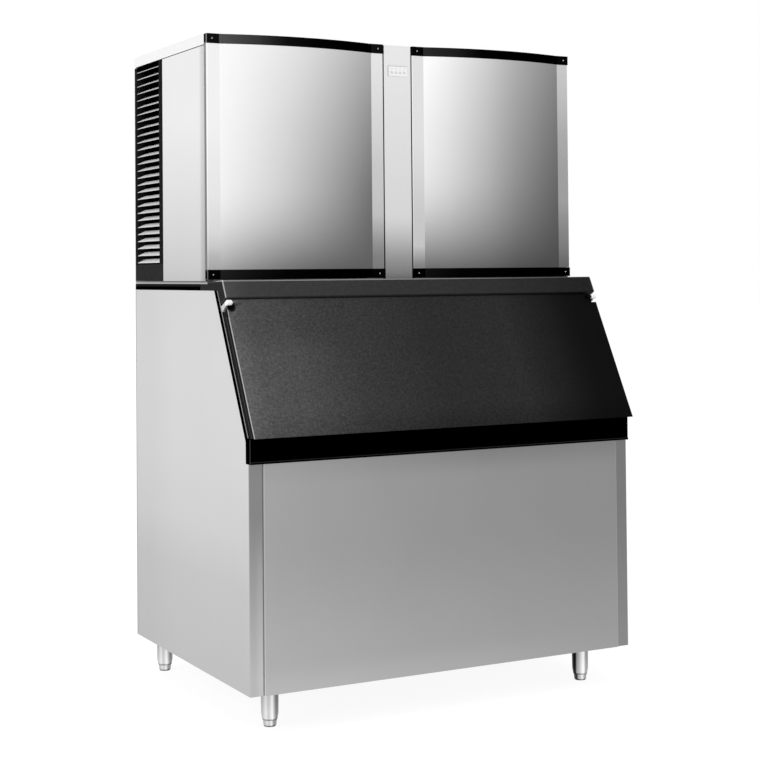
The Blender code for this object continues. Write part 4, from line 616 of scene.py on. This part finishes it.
def frame_level(finish):
    """Black, with a painted highlight along the ends' outer edge and the sill's front corner, and on a
    fine bead along the sill's face.
    """
    at_end = finish.x.size() > machine_end - 0.0015
    above_sill = finish.z > slope_foot_z + sill_rise
    painted_edge_light = outward(finish).rise(frame_edge_start, frame_edge_end)
    sill_corner = 1 - finish.y.rise(front_y + sill_nose_start, front_y + sill_nose_end)
    over_foot = finish.z.rise(bead_low, bead_low + bead_blur)
    over_top = finish.z.rise(bead_high - bead_blur, bead_high)
    bead = (over_foot - over_top) * (finish.y < front_y)
    end = above_sill * painted_edge_light * frame_highlight + (1 - above_sill) * sill_corner * sill_highlight
    return 2 + at_end * end + (1 - at_end) * bead * bead_highlight


sill_finish = moulded("frame_black", frame_level, 0.3, specular=0.0)
dress(sill_finish, "door_frame")
fascia_low, fascia_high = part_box("top_fascia")
# Painted reflection: grey levels of the fascia's front from left to right.
fascia_stops = (
    *((-0.611, 76), (-0.582, 70), (-0.537, 62), (-0.07, 53)),
    *((0.275, 48), (0.453, 40), (0.582, 33)),
)
top_highlight_stops = ((-0.6, 70), (-0.3, 84), (0.1, 76), (0.35, 54), (0.58, 28))
fascia_skin, fascia_edge = 0.0004, 0.0032
fascia_out_start, fascia_out_end = 0.0600, 0.0612
fascia_mottle, fascia_highlight = 14, 95


def fascia_level(finish):
    """Mottled black with a painted reflection that darkens to the right, a painted highlight along the
    top edge and painted highlights on the ends' edges.
    """
    front = finish.x.along(*fascia_stops) + (finish.noise(90, 3) - 0.5) * fascia_mottle
    end = 13 + finish.y.rise(fascia_low.y, fascia_low.y + 0.1) * 6
    at_end = finish.x.size() > machine_end - fascia_skin
    in_edge = finish.x.size() > machine_end - fascia_edge
    front_edge = outward(finish).rise(fascia_out_start, fascia_out_end)
    top_edge = finish.z.rise(fascia_high.z - 0.006, fascia_high.z - 0.002)
    behind_joint = finish.y.rise(fascia_high.y - 0.004, fascia_high.y - 0.002)
    painted_edge_light = in_edge * (front_edge + (1 - front_edge) * top_edge) * fascia_highlight
    top_highlight = finish.z.rise(fascia_high.z - 0.0034, fascia_high.z - 0.0022)
    front = front + top_highlight * finish.x.along(*top_highlight_stops)
    return front * (1 - at_end) + end * at_end * (1 - behind_joint * 0.8) + painted_edge_light


dress(moulded("fascia_black", fascia_level, 0.5, 300, specular=0.05), "top_fascia")
rim_highlight_low, rim_highlight_high = 1.1925, 1.1965


# A painted highlight runs along the rim's upper edge.
def rim_level(finish):
    return 4 + finish.z.rise(rim_highlight_low, rim_highlight_high) * 32


dress(moulded("rim_black", rim_level, 0.4, specular=0.0), "bin_top_rim")


# Door. A grained black outer panel moulded over the insulated core, with a white inner liner and
# a rubber gasket round it. It lifts on the two white hinges at its top corners.
door_outer, hinge_clearance = 0.0565, 0.002
door_skin, door_edge, door_highlight = 0.0012, 0.0030, 168
parting_low, parting_high, parting_blur = 0.0392, 0.0412, 0.0006
parting_tone, door_end_tone = 72, 3
knob_inset, knob_shade_start, knob_shade_end, knob_shade_depth = 0.0135, 0.008, 0.016, 0.92
hinge_low, hinge_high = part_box("hinge_left")
door = Finish("door_black", {"Specular IOR Level": 0.06})
fine = door.noise(700, 2)
mottle = door.noise(150, 3, roughness=0.65)
# Painted light from the left: the face darkens from left to right, with painted shade at its upper left
# and near its foot.
door_stops = (
    *((-0.61, 96), (-0.55, 83), (-0.44, 77), (-0.26, 59), (0.0, 46)),
    *((0.27, 45), (0.42, 29), (0.52, 13), (0.6, 9)),
)
upper_left_shade, lower_shade_fall = 7, 8
mottle_share, fine_tones = 0.8, 10
upper_left = door.z.rise(1.0, 1.08) * (1 - door.x.rise(-0.4, -0.2))
lower_end = 1 - door.z.rise(0.79, 0.87)
door_face = door.x.along(*door_stops) - upper_left * upper_left_shade
mottling = (mottle - 0.5) * (door_face * mottle_share) + (fine - 0.5) * fine_tones
door_face = door_face - lower_end * lower_shade_fall + mottling
at_end = door.x.size() > machine_end - door_skin
in_edge = door.x.size() > machine_end - door_edge
front_edge = outward(door).rise(door_outer - 0.0028, door_outer - 0.0016)
parting_line = outward(door).rise(parting_low, parting_low + parting_blur)
parting_line = parting_line - outward(door).rise(parting_high, parting_high + parting_blur)
# Painted shade in the notch beside each hinge and round its knob.
round_hinge = door.x.size() > -hinge_high.x - hinge_clearance
beside_hinge = round_hinge * door.z.rise(hinge_low.z - 0.008, hinge_low.z - 0.005)
behind_face = 1 - outward(door).rise(door_outer - 0.0015, door_outer - 0.0005)
knob_reach = door.x.size() - (machine_end - knob_inset)
knob_rise = door.z - (hinge_low.z + hinge_high.z) / 2
from_knob = (knob_reach * knob_reach + knob_rise * knob_rise) ** 0.5
knob_shade = beside_hinge * behind_face
knob_shade = knob_shade + (1 - from_knob.rise(knob_shade_start, knob_shade_end)) * (1 - knob_shade)
end_level = parting_line * parting_tone + door_end_tone
door_level = door_face * (1 - at_end) + end_level * at_end
# A painted highlight runs along the door's front edges at its ends.
door_level = door_level * (1 - in_edge * front_edge) + in_edge * front_edge * door_highlight
door.tone(door_level * (1 - knob_shade * knob_shade_depth))
door.wear({"Roughness": mottle * 0.2 + 0.55})
door.bump(fine * 0.6 + mottle * 0.4, 0.0003, 0.7)
dress(door.material, "door_panel")
dress(moulded("door_liner_white", lambda finish: 225 + finish.noise(4) * 8), "door_liner")
dress(moulded("gasket_black", lambda finish: 22 + finish.noise(20) * 8, 0.75), "door_gasket")


# Hinges. White moulded brackets fixed to the frame at the door's top corners: a foot, an arm that
# reaches out past the door's face, and a round knob whose pin turns in the door's knuckle.
def on_slope(x, rise, out):
    """A point this far up the bin's slope from its foot, and this far out from it."""
    y = slope_foot_y + rise * math.sin(slope) - out * math.cos(slope)
    z = slope_foot_z + rise * math.cos(slope) + out * math.sin(slope)
    return Vector((x, y, z))


def turned_solid(work, centre, places):
    """A closed solid of 24 sides turned round an axis along x, from places of (x, radius)."""
    sides = 24
    rings = []
    for x, radius in places:
        turns = [math.tau * step / sides for step in range(sides)]
        round_axis = [(radius * math.cos(turn), radius * math.sin(turn)) for turn in turns]
        rings.append([work.verts.new((x, centre.y + y, centre.z + z)) for y, z in round_axis])
    for before, after in zip(rings, rings[1:]):
        for step in range(sides):
            beyond = (step + 1) % sides
            work.faces.new((before[step], before[beyond], after[beyond], after[step]))
    work.faces.new(rings[0])
    work.faces.new(rings[-1])


def drawn_solid(work, outline, ends):
    """A closed solid drawn along x between two ends, from points of (rise, out) on the slope."""
    near, far = ([work.verts.new(on_slope(x, rise, out)) for rise, out in outline] for x in ends)
    for step in range(len(outline)):
        beyond = (step + 1) % len(outline)
        work.faces.new((near[step], near[beyond], far[beyond], far[step]))
    work.faces.new(near)
    work.faces.new(far)


hinge_rise, hinge_out = 0.3864, 0.0595
knob_radius, pin_radius = 0.0075, 0.0030
frame_face, foot_face = 0.0203, 0.0232
foot_top, foot_end = hinge_rise + 0.0088, hinge_rise - 0.0100
hinge_foot = [
    (foot_end, frame_face),
    (foot_top, frame_face),
    (foot_top, foot_face),
    (foot_end, foot_face),
]
hinge_arm = [
    (hinge_rise + 0.0082, foot_face - 0.001),
    (hinge_rise + 0.0072, 0.034),
    (hinge_rise + 0.0066, hinge_out),
    (hinge_rise - 0.0050, hinge_out),
    (hinge_rise - 0.0052, 0.046),
    (hinge_rise - 0.0070, 0.032),
    (hinge_rise - 0.0092, foot_face - 0.001),
]
knob = [
    *((0.6140, 0.0050), (0.6136, 0.0064), (0.6127, 0.0073), (0.6115, knob_radius)),
    *((0.6020, knob_radius), (0.5995, 0.0070), (0.5980, 0.0058), (0.5971, 0.0040)),
    *((0.5970, pin_radius), (0.5866, pin_radius), (0.5860, 0.0024)),
]
foot_ends, arm_ends = (0.5972, 0.6139), (0.6094, 0.6134)
crease_angle, bracket_edge = 1.0, 0.0004


def hinge_level(finish):
    arm = 1 - outward(finish).rise(hinge_out - 0.0125, hinge_out - 0.0085)
    return 250 - arm * (finish.noise(600, 2) * 60 + 20)


hinge_finish = moulded("hinge_white", hinge_level, 0.35)
for side, word in ((-1, "left"), (1, "right")):
    work = bmesh.new()
    drawn_solid(work, hinge_foot, [side * x for x in foot_ends])
    drawn_solid(work, hinge_arm, [side * x for x in arm_ends])
    turned_solid(work, on_slope(0, hinge_rise, hinge_out), [(side * x, radius) for x, radius in knob])
    bmesh.ops.recalc_face_normals(work, faces=work.faces)
    creases = [edge for edge in work.edges if edge.calc_face_angle() > crease_angle]
    bracket = settled(work, "hinge_bracket_" + word, "cabinet", creases, bracket_edge)
    bracket.data.materials.append(hinge_finish)
    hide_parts("hinge_" + word)


# Head casing. Brushed stainless: a base pan whose edge shows as a thin line, two side panels, a
# back panel with air slots, and a lid whose flange turns down over them.
head_side_stops = ((1.21, 190), (1.25, 199), (1.334, 211), (1.506, 227), (1.68, 238))
bend_start, bend_end, front_shade_fall = -0.116, -0.086, 29


def head_side_level(finish):
    """Painted reflection, brighter upwards, and painted shade near the front where the sheet is bent.
    """
    field = finish.z.along(*head_side_stops) + finish.y * -6
    return field - (1 - finish.y.rise(bend_start, bend_end)) * front_shade_fall


# Painted reflection: the back is lighter upwards.
def head_back_level(finish):
    return finish.z.along((1.21, 200), (1.7, 226))


dress(brushed("head_side_steel", head_side_level), "head_side_left", "head_side_right")
dress(brushed("head_back_steel", head_back_level), "head_back_panel")
lid_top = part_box("head_top_panel")[1].z
lid_edge_tone, painted_top_shade = 246, 42


# The lid's top face is painted darker than its flange, painted shade against the stronger light from
# above.
def lid_level(finish):
    on_top = finish.z > lid_top - 0.0004
    return lid_edge_tone - finish.x * 2 - on_top * painted_top_shade


dress(brushed("head_lid_steel", lid_level, grain_across), "head_top_panel")
head_base_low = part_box("head_base")[0]
base_stops = ((-0.6, 118), (-0.1, 138), (0.2, 75), (0.6, 66))
base_end = 0.02
base_highlight_start, base_highlight_end = 0.0036, 0.0050


# Painted reflection along the front, falling to the right, and a painted highlight along the lower edge
# of each end.
def head_base_level(finish):
    front = finish.x.along(*base_stops)
    at_end = finish.x.size() > machine_end - base_end
    lower_highlight = 1 - finish.z.rise(head_base_low.z + base_highlight_start, head_base_low.z + base_highlight_end)
    return front * (1 - at_end) + at_end * (lower_highlight * 85 + 80)


dress(brushed("head_base_steel", head_base_level, grain_across), "head_base")
back_screws("head_back_screws", "head_back_panel")


# Louvres and air filters. Each louvre is a steel frame with pressed blades, screwed over the opening
# in the rear half of a side, so that the condenser's air comes in on the left and leaves on the
# right. Behind it a black woven filter mesh, 3 mm thick, is held by the frame. Its solid black
# backing sheet also stands in for the shade inside the head.
louvre_low, louvre_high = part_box("louvre_left")
front_bar, rear_bar, foot_bar, top_bar = 0.032, 0.018, 0.052, 0.008
window_low = Vector((louvre_high.x, louvre_low.y + front_bar, louvre_low.z + foot_bar))
window_high = Vector((louvre_low.x, louvre_high.y - rear_bar, louvre_high.z - top_bar))
blade_count, blade_thick, blade_lap = 28, 0.0014, 0.001
blade_depth, blade_rise = 0.0252, 0.0115
lowest_blade, highest_blade = 1.2729, 1.8666
grille_sizes = ("Frame", "Window", "Place", "Blade", "First", "Step")
grille_sizes = {label: "NodeSocketVector" for label in grille_sizes}
grille = Growth("louvre", {**grille_sizes, "Slope": "NodeSocketFloat", "Count": "NodeSocketInt"})
bars = grille.node("GeometryNodeMeshCube", None, {"Size": grille.take("Frame")})
opening = grille.node("GeometryNodeMeshCube", None, {"Size": grille.take("Window")})
opening = grille.node("GeometryNodeTransform", None, {0: opening, "Translation": grille.take("Place")})
bars = grille.node("GeometryNodeMeshBoolean", {"operation": "DIFFERENCE"}, {0: bars, 1: opening})
blade = grille.node("GeometryNodeMeshCube", None, {"Size": grille.take("Blade")})
tilt = grille.node("ShaderNodeCombineXYZ", None, {1: grille.take("Slope")})
blade = grille.node("GeometryNodeTransform", None, {0: blade, "Rotation": tilt})
row = {"Count": grille.take("Count"), "Start Location": grille.take("First")}
row = grille.node("GeometryNodeMeshLine", {"mode": "OFFSET"}, {**row, "Offset": grille.take("Step")})
blades = grille.node("GeometryNodeInstanceOnPoints", None, {"Points": row, "Instance": blade})
grille.end(grille.join(blades, bars))

louvre = Finish("louvre_steel", {"Specular IOR Level": 0.0})
louvre_cloud = louvre.noise(70, 3)
in_width = (louvre.y > window_low.y) * (louvre.y < window_high.y)
in_window = in_width * (louvre.z > window_low.z) * (louvre.z < window_high.z)
under_lid = in_width * (louvre.z > window_high.z - 0.001)
below = 1 - louvre.z.rise(window_low.z - 0.002, window_low.z)
bar_tone, foot_bar_gain, lid_shadow = 28, 14, 0.9
bar_level = (louvre_cloud * 16 + bar_tone + below * foot_bar_gain) * (1 - under_lid * lid_shadow)
# The blades are painted pale, a painted highlight that darkens upwards. The bars are dark, with painted
# shade under the lid and a lighter foot bar.
blade_highlight_stops = ((1.27, 236), (1.87, 205))
louvre.tone(bar_level * (1 - in_window) + louvre.z.along(*blade_highlight_stops) * in_window)
louvre.wear({"Roughness": louvre_cloud * 0.1 + 0.4})
opening_size = window_high - window_low
opening_middle = (window_low + window_high) / 2
slope_angle = math.atan2(blade_rise, blade_depth)
blade_length = blade_depth / math.cos(slope_angle)
blade_pitch = (highest_blade - lowest_blade) / (blade_count - 1)
window_overrun = 0.01
for side, word in ((-1, "left"), (1, "right")):
    low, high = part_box("louvre_" + word)
    centre = (low + high) / 2
    fitted = grille.grow(
        "louvre_" + word + "_grille",
        "cabinet",
        [tuple(centre)],
        louvre.material,
        Frame=high - low,
        Window=Vector((high.x - low.x + window_overrun, opening_size.y, opening_size.z)),
        Place=Vector((0, opening_middle.y - centre.y, opening_middle.z - centre.z)),
        Blade=Vector((blade_length, opening_size.y + 2 * blade_lap, blade_thick)),
        First=Vector((0, opening_middle.y - centre.y, lowest_blade - centre.z)),
        Step=Vector((0, 0, blade_pitch)),
        Slope=side * slope_angle,
        Count=blade_count,
    )
    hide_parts("louvre_" + word)

weave_sizes = ("Depth", "Width", "Height")
weave = Growth("filter_weave", {label: "NodeSocketFloat" for label in weave_sizes})
weave_depth, weave_width, weave_height = (weave.take(label) for label in weave_sizes)
wire = 0.0008
wire_pitch = 0.006
shade_sheet = {0: weave_depth - wire * 2, 1: weave_width, 2: weave_height}
shade_sheet = weave.node("ShaderNodeCombineXYZ", None, shade_sheet)
layers = [weave.node("GeometryNodeMeshCube", None, {"Size": shade_sheet})]
for run, across in ((weave_width, 2), (weave_height, 1)):
    reach = weave_height if across == 2 else weave_width
    bar_size = {0: weave_depth, 1: wire, 2: wire}
    bar_size[3 - across] = run
    bar_size = weave.node("ShaderNodeCombineXYZ", None, bar_size)
    bar = weave.node("GeometryNodeMeshCube", None, {"Size": bar_size})
    first = weave.node("ShaderNodeCombineXYZ", None, {across: reach * -0.5 + wire})
    step = weave.node("ShaderNodeCombineXYZ", None, {across: wire_pitch})
    row = {"Count": reach / wire_pitch, "Start Location": first, "Offset": step}
    row = weave.node("GeometryNodeMeshLine", {"mode": "OFFSET"}, row)
    layers.append(weave.node("GeometryNodeInstanceOnPoints", None, {"Points": row, "Instance": bar}))
weave.end(weave.join(*layers))
# Near-black mesh on a solid black sheet, which also stands in for the shade inside the head.
filter_black = Finish("filter_black", {"Specular IOR Level": 0.0, "Roughness": 0.9})
filter_black.tone(filter_black.noise(400, 2) * 4 + 1)
filter_lap = 0.005
filter_thick = 0.003
filter_gap = 0.0004
filter_x = -louvre_high.x - filter_gap - filter_thick / 2
dark_screw = screw_finish("screw_dark", 60)
louvre_screw_inset = 0.016
louvre_screws_upward = 4
for side, word in ((-1, "left"), (1, "right")):
    mesh = weave.grow(
        "air_filter_" + word,
        "cabinet",
        [(side * filter_x, opening_middle.y, opening_middle.z)],
        filter_black.material,
        Depth=filter_thick,
        Width=opening_size.y + 2 * filter_lap,
        Height=opening_size.z + 2 * filter_lap,
    )
    louvre_face = -side * louvre_low.x
    lowest, highest = louvre_low.z + louvre_screw_inset, louvre_high.z - louvre_screw_inset
    screw_rows = spaced(lowest, highest, louvre_screws_upward)
    points = [(louvre_face, louvre_low.y + front_bar / 2, z) for z in screw_rows]
    points += [(louvre_face, louvre_high.y - rear_bar / 2, z) for z in screw_rows]
    made = screw.grow(
        "louvre_screws_" + word,
        "cabinet",
        points,
        dark_screw,
        Radius=0.0035,
        Height=0.0009,
        Facing=Vector((side, 0, 0)),
    )


# Front panels, caps and pillar. Two bowed polished panels with a flat strip at each side, held at
# top and bottom by black caps, and a flat stainless pillar between them. Two screws hold each cap.
panel_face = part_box("centre_pillar")[0].y
strip = 0.040
return_start, return_end = 0.0135, 0.0115
return_shade_tone, return_shade_fall = 125, 25
panel_edge_start, panel_edge_end, fold_highlight = 0.002, 0.004, 14


def panel_level(name, bright, fall, drop, feet, strips, reflection_band=0):
    """Painted reflection of polished steel that falls to the right, and downwards past the place where
    feet starts, with a painted highlight at the left fold and painted shade on the return.
    """
    low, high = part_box(name)

    def level(finish):
        across = (finish.x - (low.x + strip)) / (high.x - low.x - 2 * strip)
        across = across.rise(0, 1, smooth=False)
        down = 1 - (finish.z - low.z) / (high.z - low.z)
        foot_start, left_foot, middle_foot, right_foot = feet
        foot = down.rise(foot_start, 1.02, smooth=False) ** 2
        body = bright - across * fall[0] - across * across * fall[1]
        body = body - down * drop[0] - across * down * drop[1]
        foot_level = (1 - across) * left_foot + across * right_foot
        foot_level = foot_level + across * (1 - across) * 4 * middle_foot
        body = body - foot * foot_level + across.along((0, 0), (0.15, reflection_band), (0.42, reflection_band), (0.65, 0))
        at_left = finish.x < low.x + strip
        at_right = finish.x > high.x - strip
        strip_left, strip_right = (finish.z.along(*stops) for stops in strips)
        face = body * (1 - at_left - at_right) + strip_left * at_left + strip_right * at_right
        edge = 1 - finish.x.rise(low.x + panel_edge_start, low.x + panel_edge_end)
        on_return = finish.y.rise(high.y - return_start, high.y - return_end)
        face = face + edge * fold_highlight
        return face * (1 - on_return) + (return_shade_tone - down * return_shade_fall) * on_return

    return level


# Painted reflection tones of the flat strips at each panel's ends, from foot to top.
left_strips = (
    ((1.24, 166), (1.28, 183), (1.31, 202), (1.35, 217), (1.45, 232), (1.65, 244), (1.82, 245)),
    (
        *((1.24, 122), (1.28, 129), (1.31, 142), (1.40, 191)),
        *((1.45, 197), (1.55, 202), (1.65, 214), (1.86, 231)),
    ),
)
right_strips = (
    ((1.25, 130), (1.28, 166), (1.31, 198), (1.40, 201), (1.55, 219), (1.65, 226), (1.86, 227)),
    (
        *((1.25, 103), (1.31, 124), (1.35, 131), (1.45, 157)),
        *((1.55, 160), (1.65, 170), (1.75, 187), (1.86, 200)),
    ),
)
left_level = panel_level(
    "front_panel_left",
    bright=254,
    fall=(36, 46),
    drop=(14, 77),
    feet=(0.6, 82, 34, -15),
    strips=left_strips,
)
right_level = panel_level(
    "front_panel_right",
    bright=259,
    fall=(142, -18),
    drop=(43, 17),
    feet=(0.53, 114, -3, 6),
    strips=right_strips,
    reflection_band=6,
)
dress(brushed("front_steel_left", left_level, roughness=0.22), "front_panel_left")
dress(brushed("front_steel_right", right_level, roughness=0.22), "front_panel_right")


def cap_level(name, edge, flat, near, middle, far):
    """Black with a painted reflection that darkens to the right between the flat ends, and a painted
    highlight on its left edge.
    """
    low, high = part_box(name)

    def level(finish):
        across = finish.x.rise(low.x, high.x, smooth=False)
        field = across.along((0.07, near), (0.27, middle), (0.42, far), (0.75, 4))
        in_strip = (finish.x < low.x + strip) + (finish.x > high.x - strip)
        left_edge = (finish.x > low.x + cap_edge_start) * (finish.x < low.x + cap_edge_end)
        return field * (1 - in_strip) + flat * in_strip + left_edge * edge

    return level


cap_edge_start, cap_edge_end = 0.0001, 0.0024
# Per cap: painted highlight on the left edge, the flat strips' tone, and painted reflection tones near,
# middle and far.
cap_tones = {
    "cap_top_left": (115, 26, 83, 58, 24),
    "cap_top_right": (10, 15, 48, 34, 9),
    "cap_bottom_left": (90, 16, 42, 25, 15),
    "cap_bottom_right": (10, 5, 30, 14, 12),
}
grey_screw = screw_finish("screw_grey", 236)
cap_screw_inset = 0.018
cap_screw_y = panel_face - 0.0015
for name, tones in cap_tones.items():
    dress(moulded(name + "_black", cap_level(name, *tones), 0.4, specular=0.0), name)
    low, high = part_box(name)
    middle_z = (low.z + high.z) / 2
    made = screw.grow(
        name + "_screws",
        "cabinet",
        [(x, cap_screw_y, middle_z) for x in (low.x + cap_screw_inset, high.x - cap_screw_inset)],
        grey_screw,
        Radius=0.0045,
        Height=0.0014,
        Facing=Vector((0, -1, 0)),
    )

pillar_foot, pillar_height = 1.21, 0.67
pillar_tone, pillar_fall, pillar_foot_fall = 235, 20, 85


# Painted reflection: the pillar darkens downwards, most near its foot.
def pillar_level(finish):
    down = 1 - (finish.z - pillar_foot) / pillar_height
    fall = down.rise(0, 0.75, smooth=False) * pillar_fall
    return pillar_tone - fall - down.rise(0.7, 1.0) * pillar_foot_fall


dress(brushed("pillar_steel", pillar_level), "centre_pillar")


# Control plate. A white plate with a dark upper edge. Below a row of four small indicator marks are
# four pale push buttons that stand 0.9 mm proud and spring back.
plate_low, plate_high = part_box("control_plate")
mark_drop, mark_proud = 0.0085, 0.0001
plate_edge_fall, plate_end_fall = 85, 35


def plate_level(finish):
    upper_edge = finish.z.rise(plate_high.z - 0.0022, plate_high.z - 0.0012)
    left_edge = 1 - finish.x.rise(plate_low.x + 0.0006, plate_low.x + 0.0014)
    return 255 - upper_edge * plate_edge_fall - left_edge * plate_end_fall * (1 - upper_edge)


dress(moulded("control_white", plate_level, 0.4), "control_plate")
button_finish = moulded("button_grey", lambda finish: 222 + finish.noise(200) * 8, 0.4)
dress(button_finish, *(f"push_button_{number}" for number in range(1, 5)))

mark = Growth("indicator_mark", {"Radius": "NodeSocketFloat", "Height": "NodeSocketFloat"})
disc = {"Vertices": 16, "Radius": mark.take("Radius"), "Depth": mark.take("Height")}
mark.end(mark.node("GeometryNodeMeshCylinder", None, disc), rotation=(math.pi / 2, 0, 0))
mark_finish = moulded("indicator_grey", lambda finish: 234 + finish.noise(300) * 8, 0.3)
mark_points = []
for number in range(1, 5):
    button_low, button_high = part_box(f"push_button_{number}")
    middle_x = (button_low.x + button_high.x) / 2
    mark_points.append((middle_x, plate_low.y - mark_proud, plate_high.z - mark_drop))
marks = mark.grow("indicator_marks", "cabinet", mark_points, mark_finish, Radius=0.0028, Height=0.0006)


# Machine side of the head. Behind the left panel stand the compressor, the condenser with its fan
# and motor, the control box and the copper lines that join them, on the base pan.
def metal(name, colour, roughness, scale=200):
    """Bare metal with cloudy patches of a slightly darker shade."""
    finish = Finish(name, {"Metallic": 0.95})
    cloud = finish.noise(scale, 3)
    shadow_share = 0.75
    darker = tuple(part * shadow_share for part in colour)
    colours = {0: cloud, 6: (*darker, 1), 7: (*colour, 1)}
    finish.wear({"Base Color": finish.node("ShaderNodeMix", {"data_type": "RGBA"}, colours, output=2)})
    finish.wear({"Roughness": cloud * 0.15 + (roughness - 0.07)})
    return finish.material


enamel = moulded("compressor_enamel", lambda finish: 30 + finish.noise(30) * 10, 0.35, 120, 0.0002)
dress(enamel, "compressor", "fan_motor")
dress(metal("condenser_aluminium", (0.70, 0.71, 0.72), 0.4), "condenser", "fan_blade")
dress(metal("zinc_plate", (0.55, 0.56, 0.57), 0.42, 60), "bulkhead", "control_box")
dress(metal("copper_line", (0.80, 0.42, 0.27), 0.28), "discharge_line", "liquid_line", "suction_line")
brass = metal("brass_fitting", (0.78, 0.60, 0.30), 0.3)
dress(brass, "water_inlet")
inlet_low, inlet_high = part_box("water_inlet")
spigot_radius, spigot_length, inlet_collar = 0.013, 0.008, 0.0004
inlet_middle = (inlet_low + inlet_high) / 2
inlet_root = (inlet_middle.x, inlet_high.y - spigot_length + inlet_collar, inlet_middle.z)
inlet_thread = thread_turn.grow(
    "water_inlet_thread",
    "cabinet",
    [inlet_root],
    brass,
    Turns=5.0,
    Radius=spigot_radius - thread_sink,
    Length=spigot_length - 2.5 * inlet_collar,
    Facing=Vector((0, 1, 0)),
)
dress(moulded("gland_black", lambda finish: 24 + finish.noise(80) * 6, 0.5), "power_gland")


# Wet side of the head. Behind the right panel the evaporator hangs in a moulded compartment, with
# its curtain, the water trough and pump below, and the distributor tube along its top.
wet_white = moulded("wet_side_white", lambda finish: 215 + finish.noise(10) * 12, 0.5)
dress(wet_white, "freezer_liner", "water_trough", "distributor_tube")
dress(metal("evaporator_nickel", (0.70, 0.68, 0.64), 0.25), "evaporator")
curtain = Finish("curtain_clear", {"Roughness": 0.15, "Transmission Weight": 0.7, "IOR": 1.49})
curtain_cloud = curtain.noise(20, 2)
curtain.tone(curtain_cloud * 10 + 225)
dress(curtain.material, "water_curtain")
dress(moulded("pump_grey", lambda finish: 130 + finish.noise(60) * 14), "water_pump")
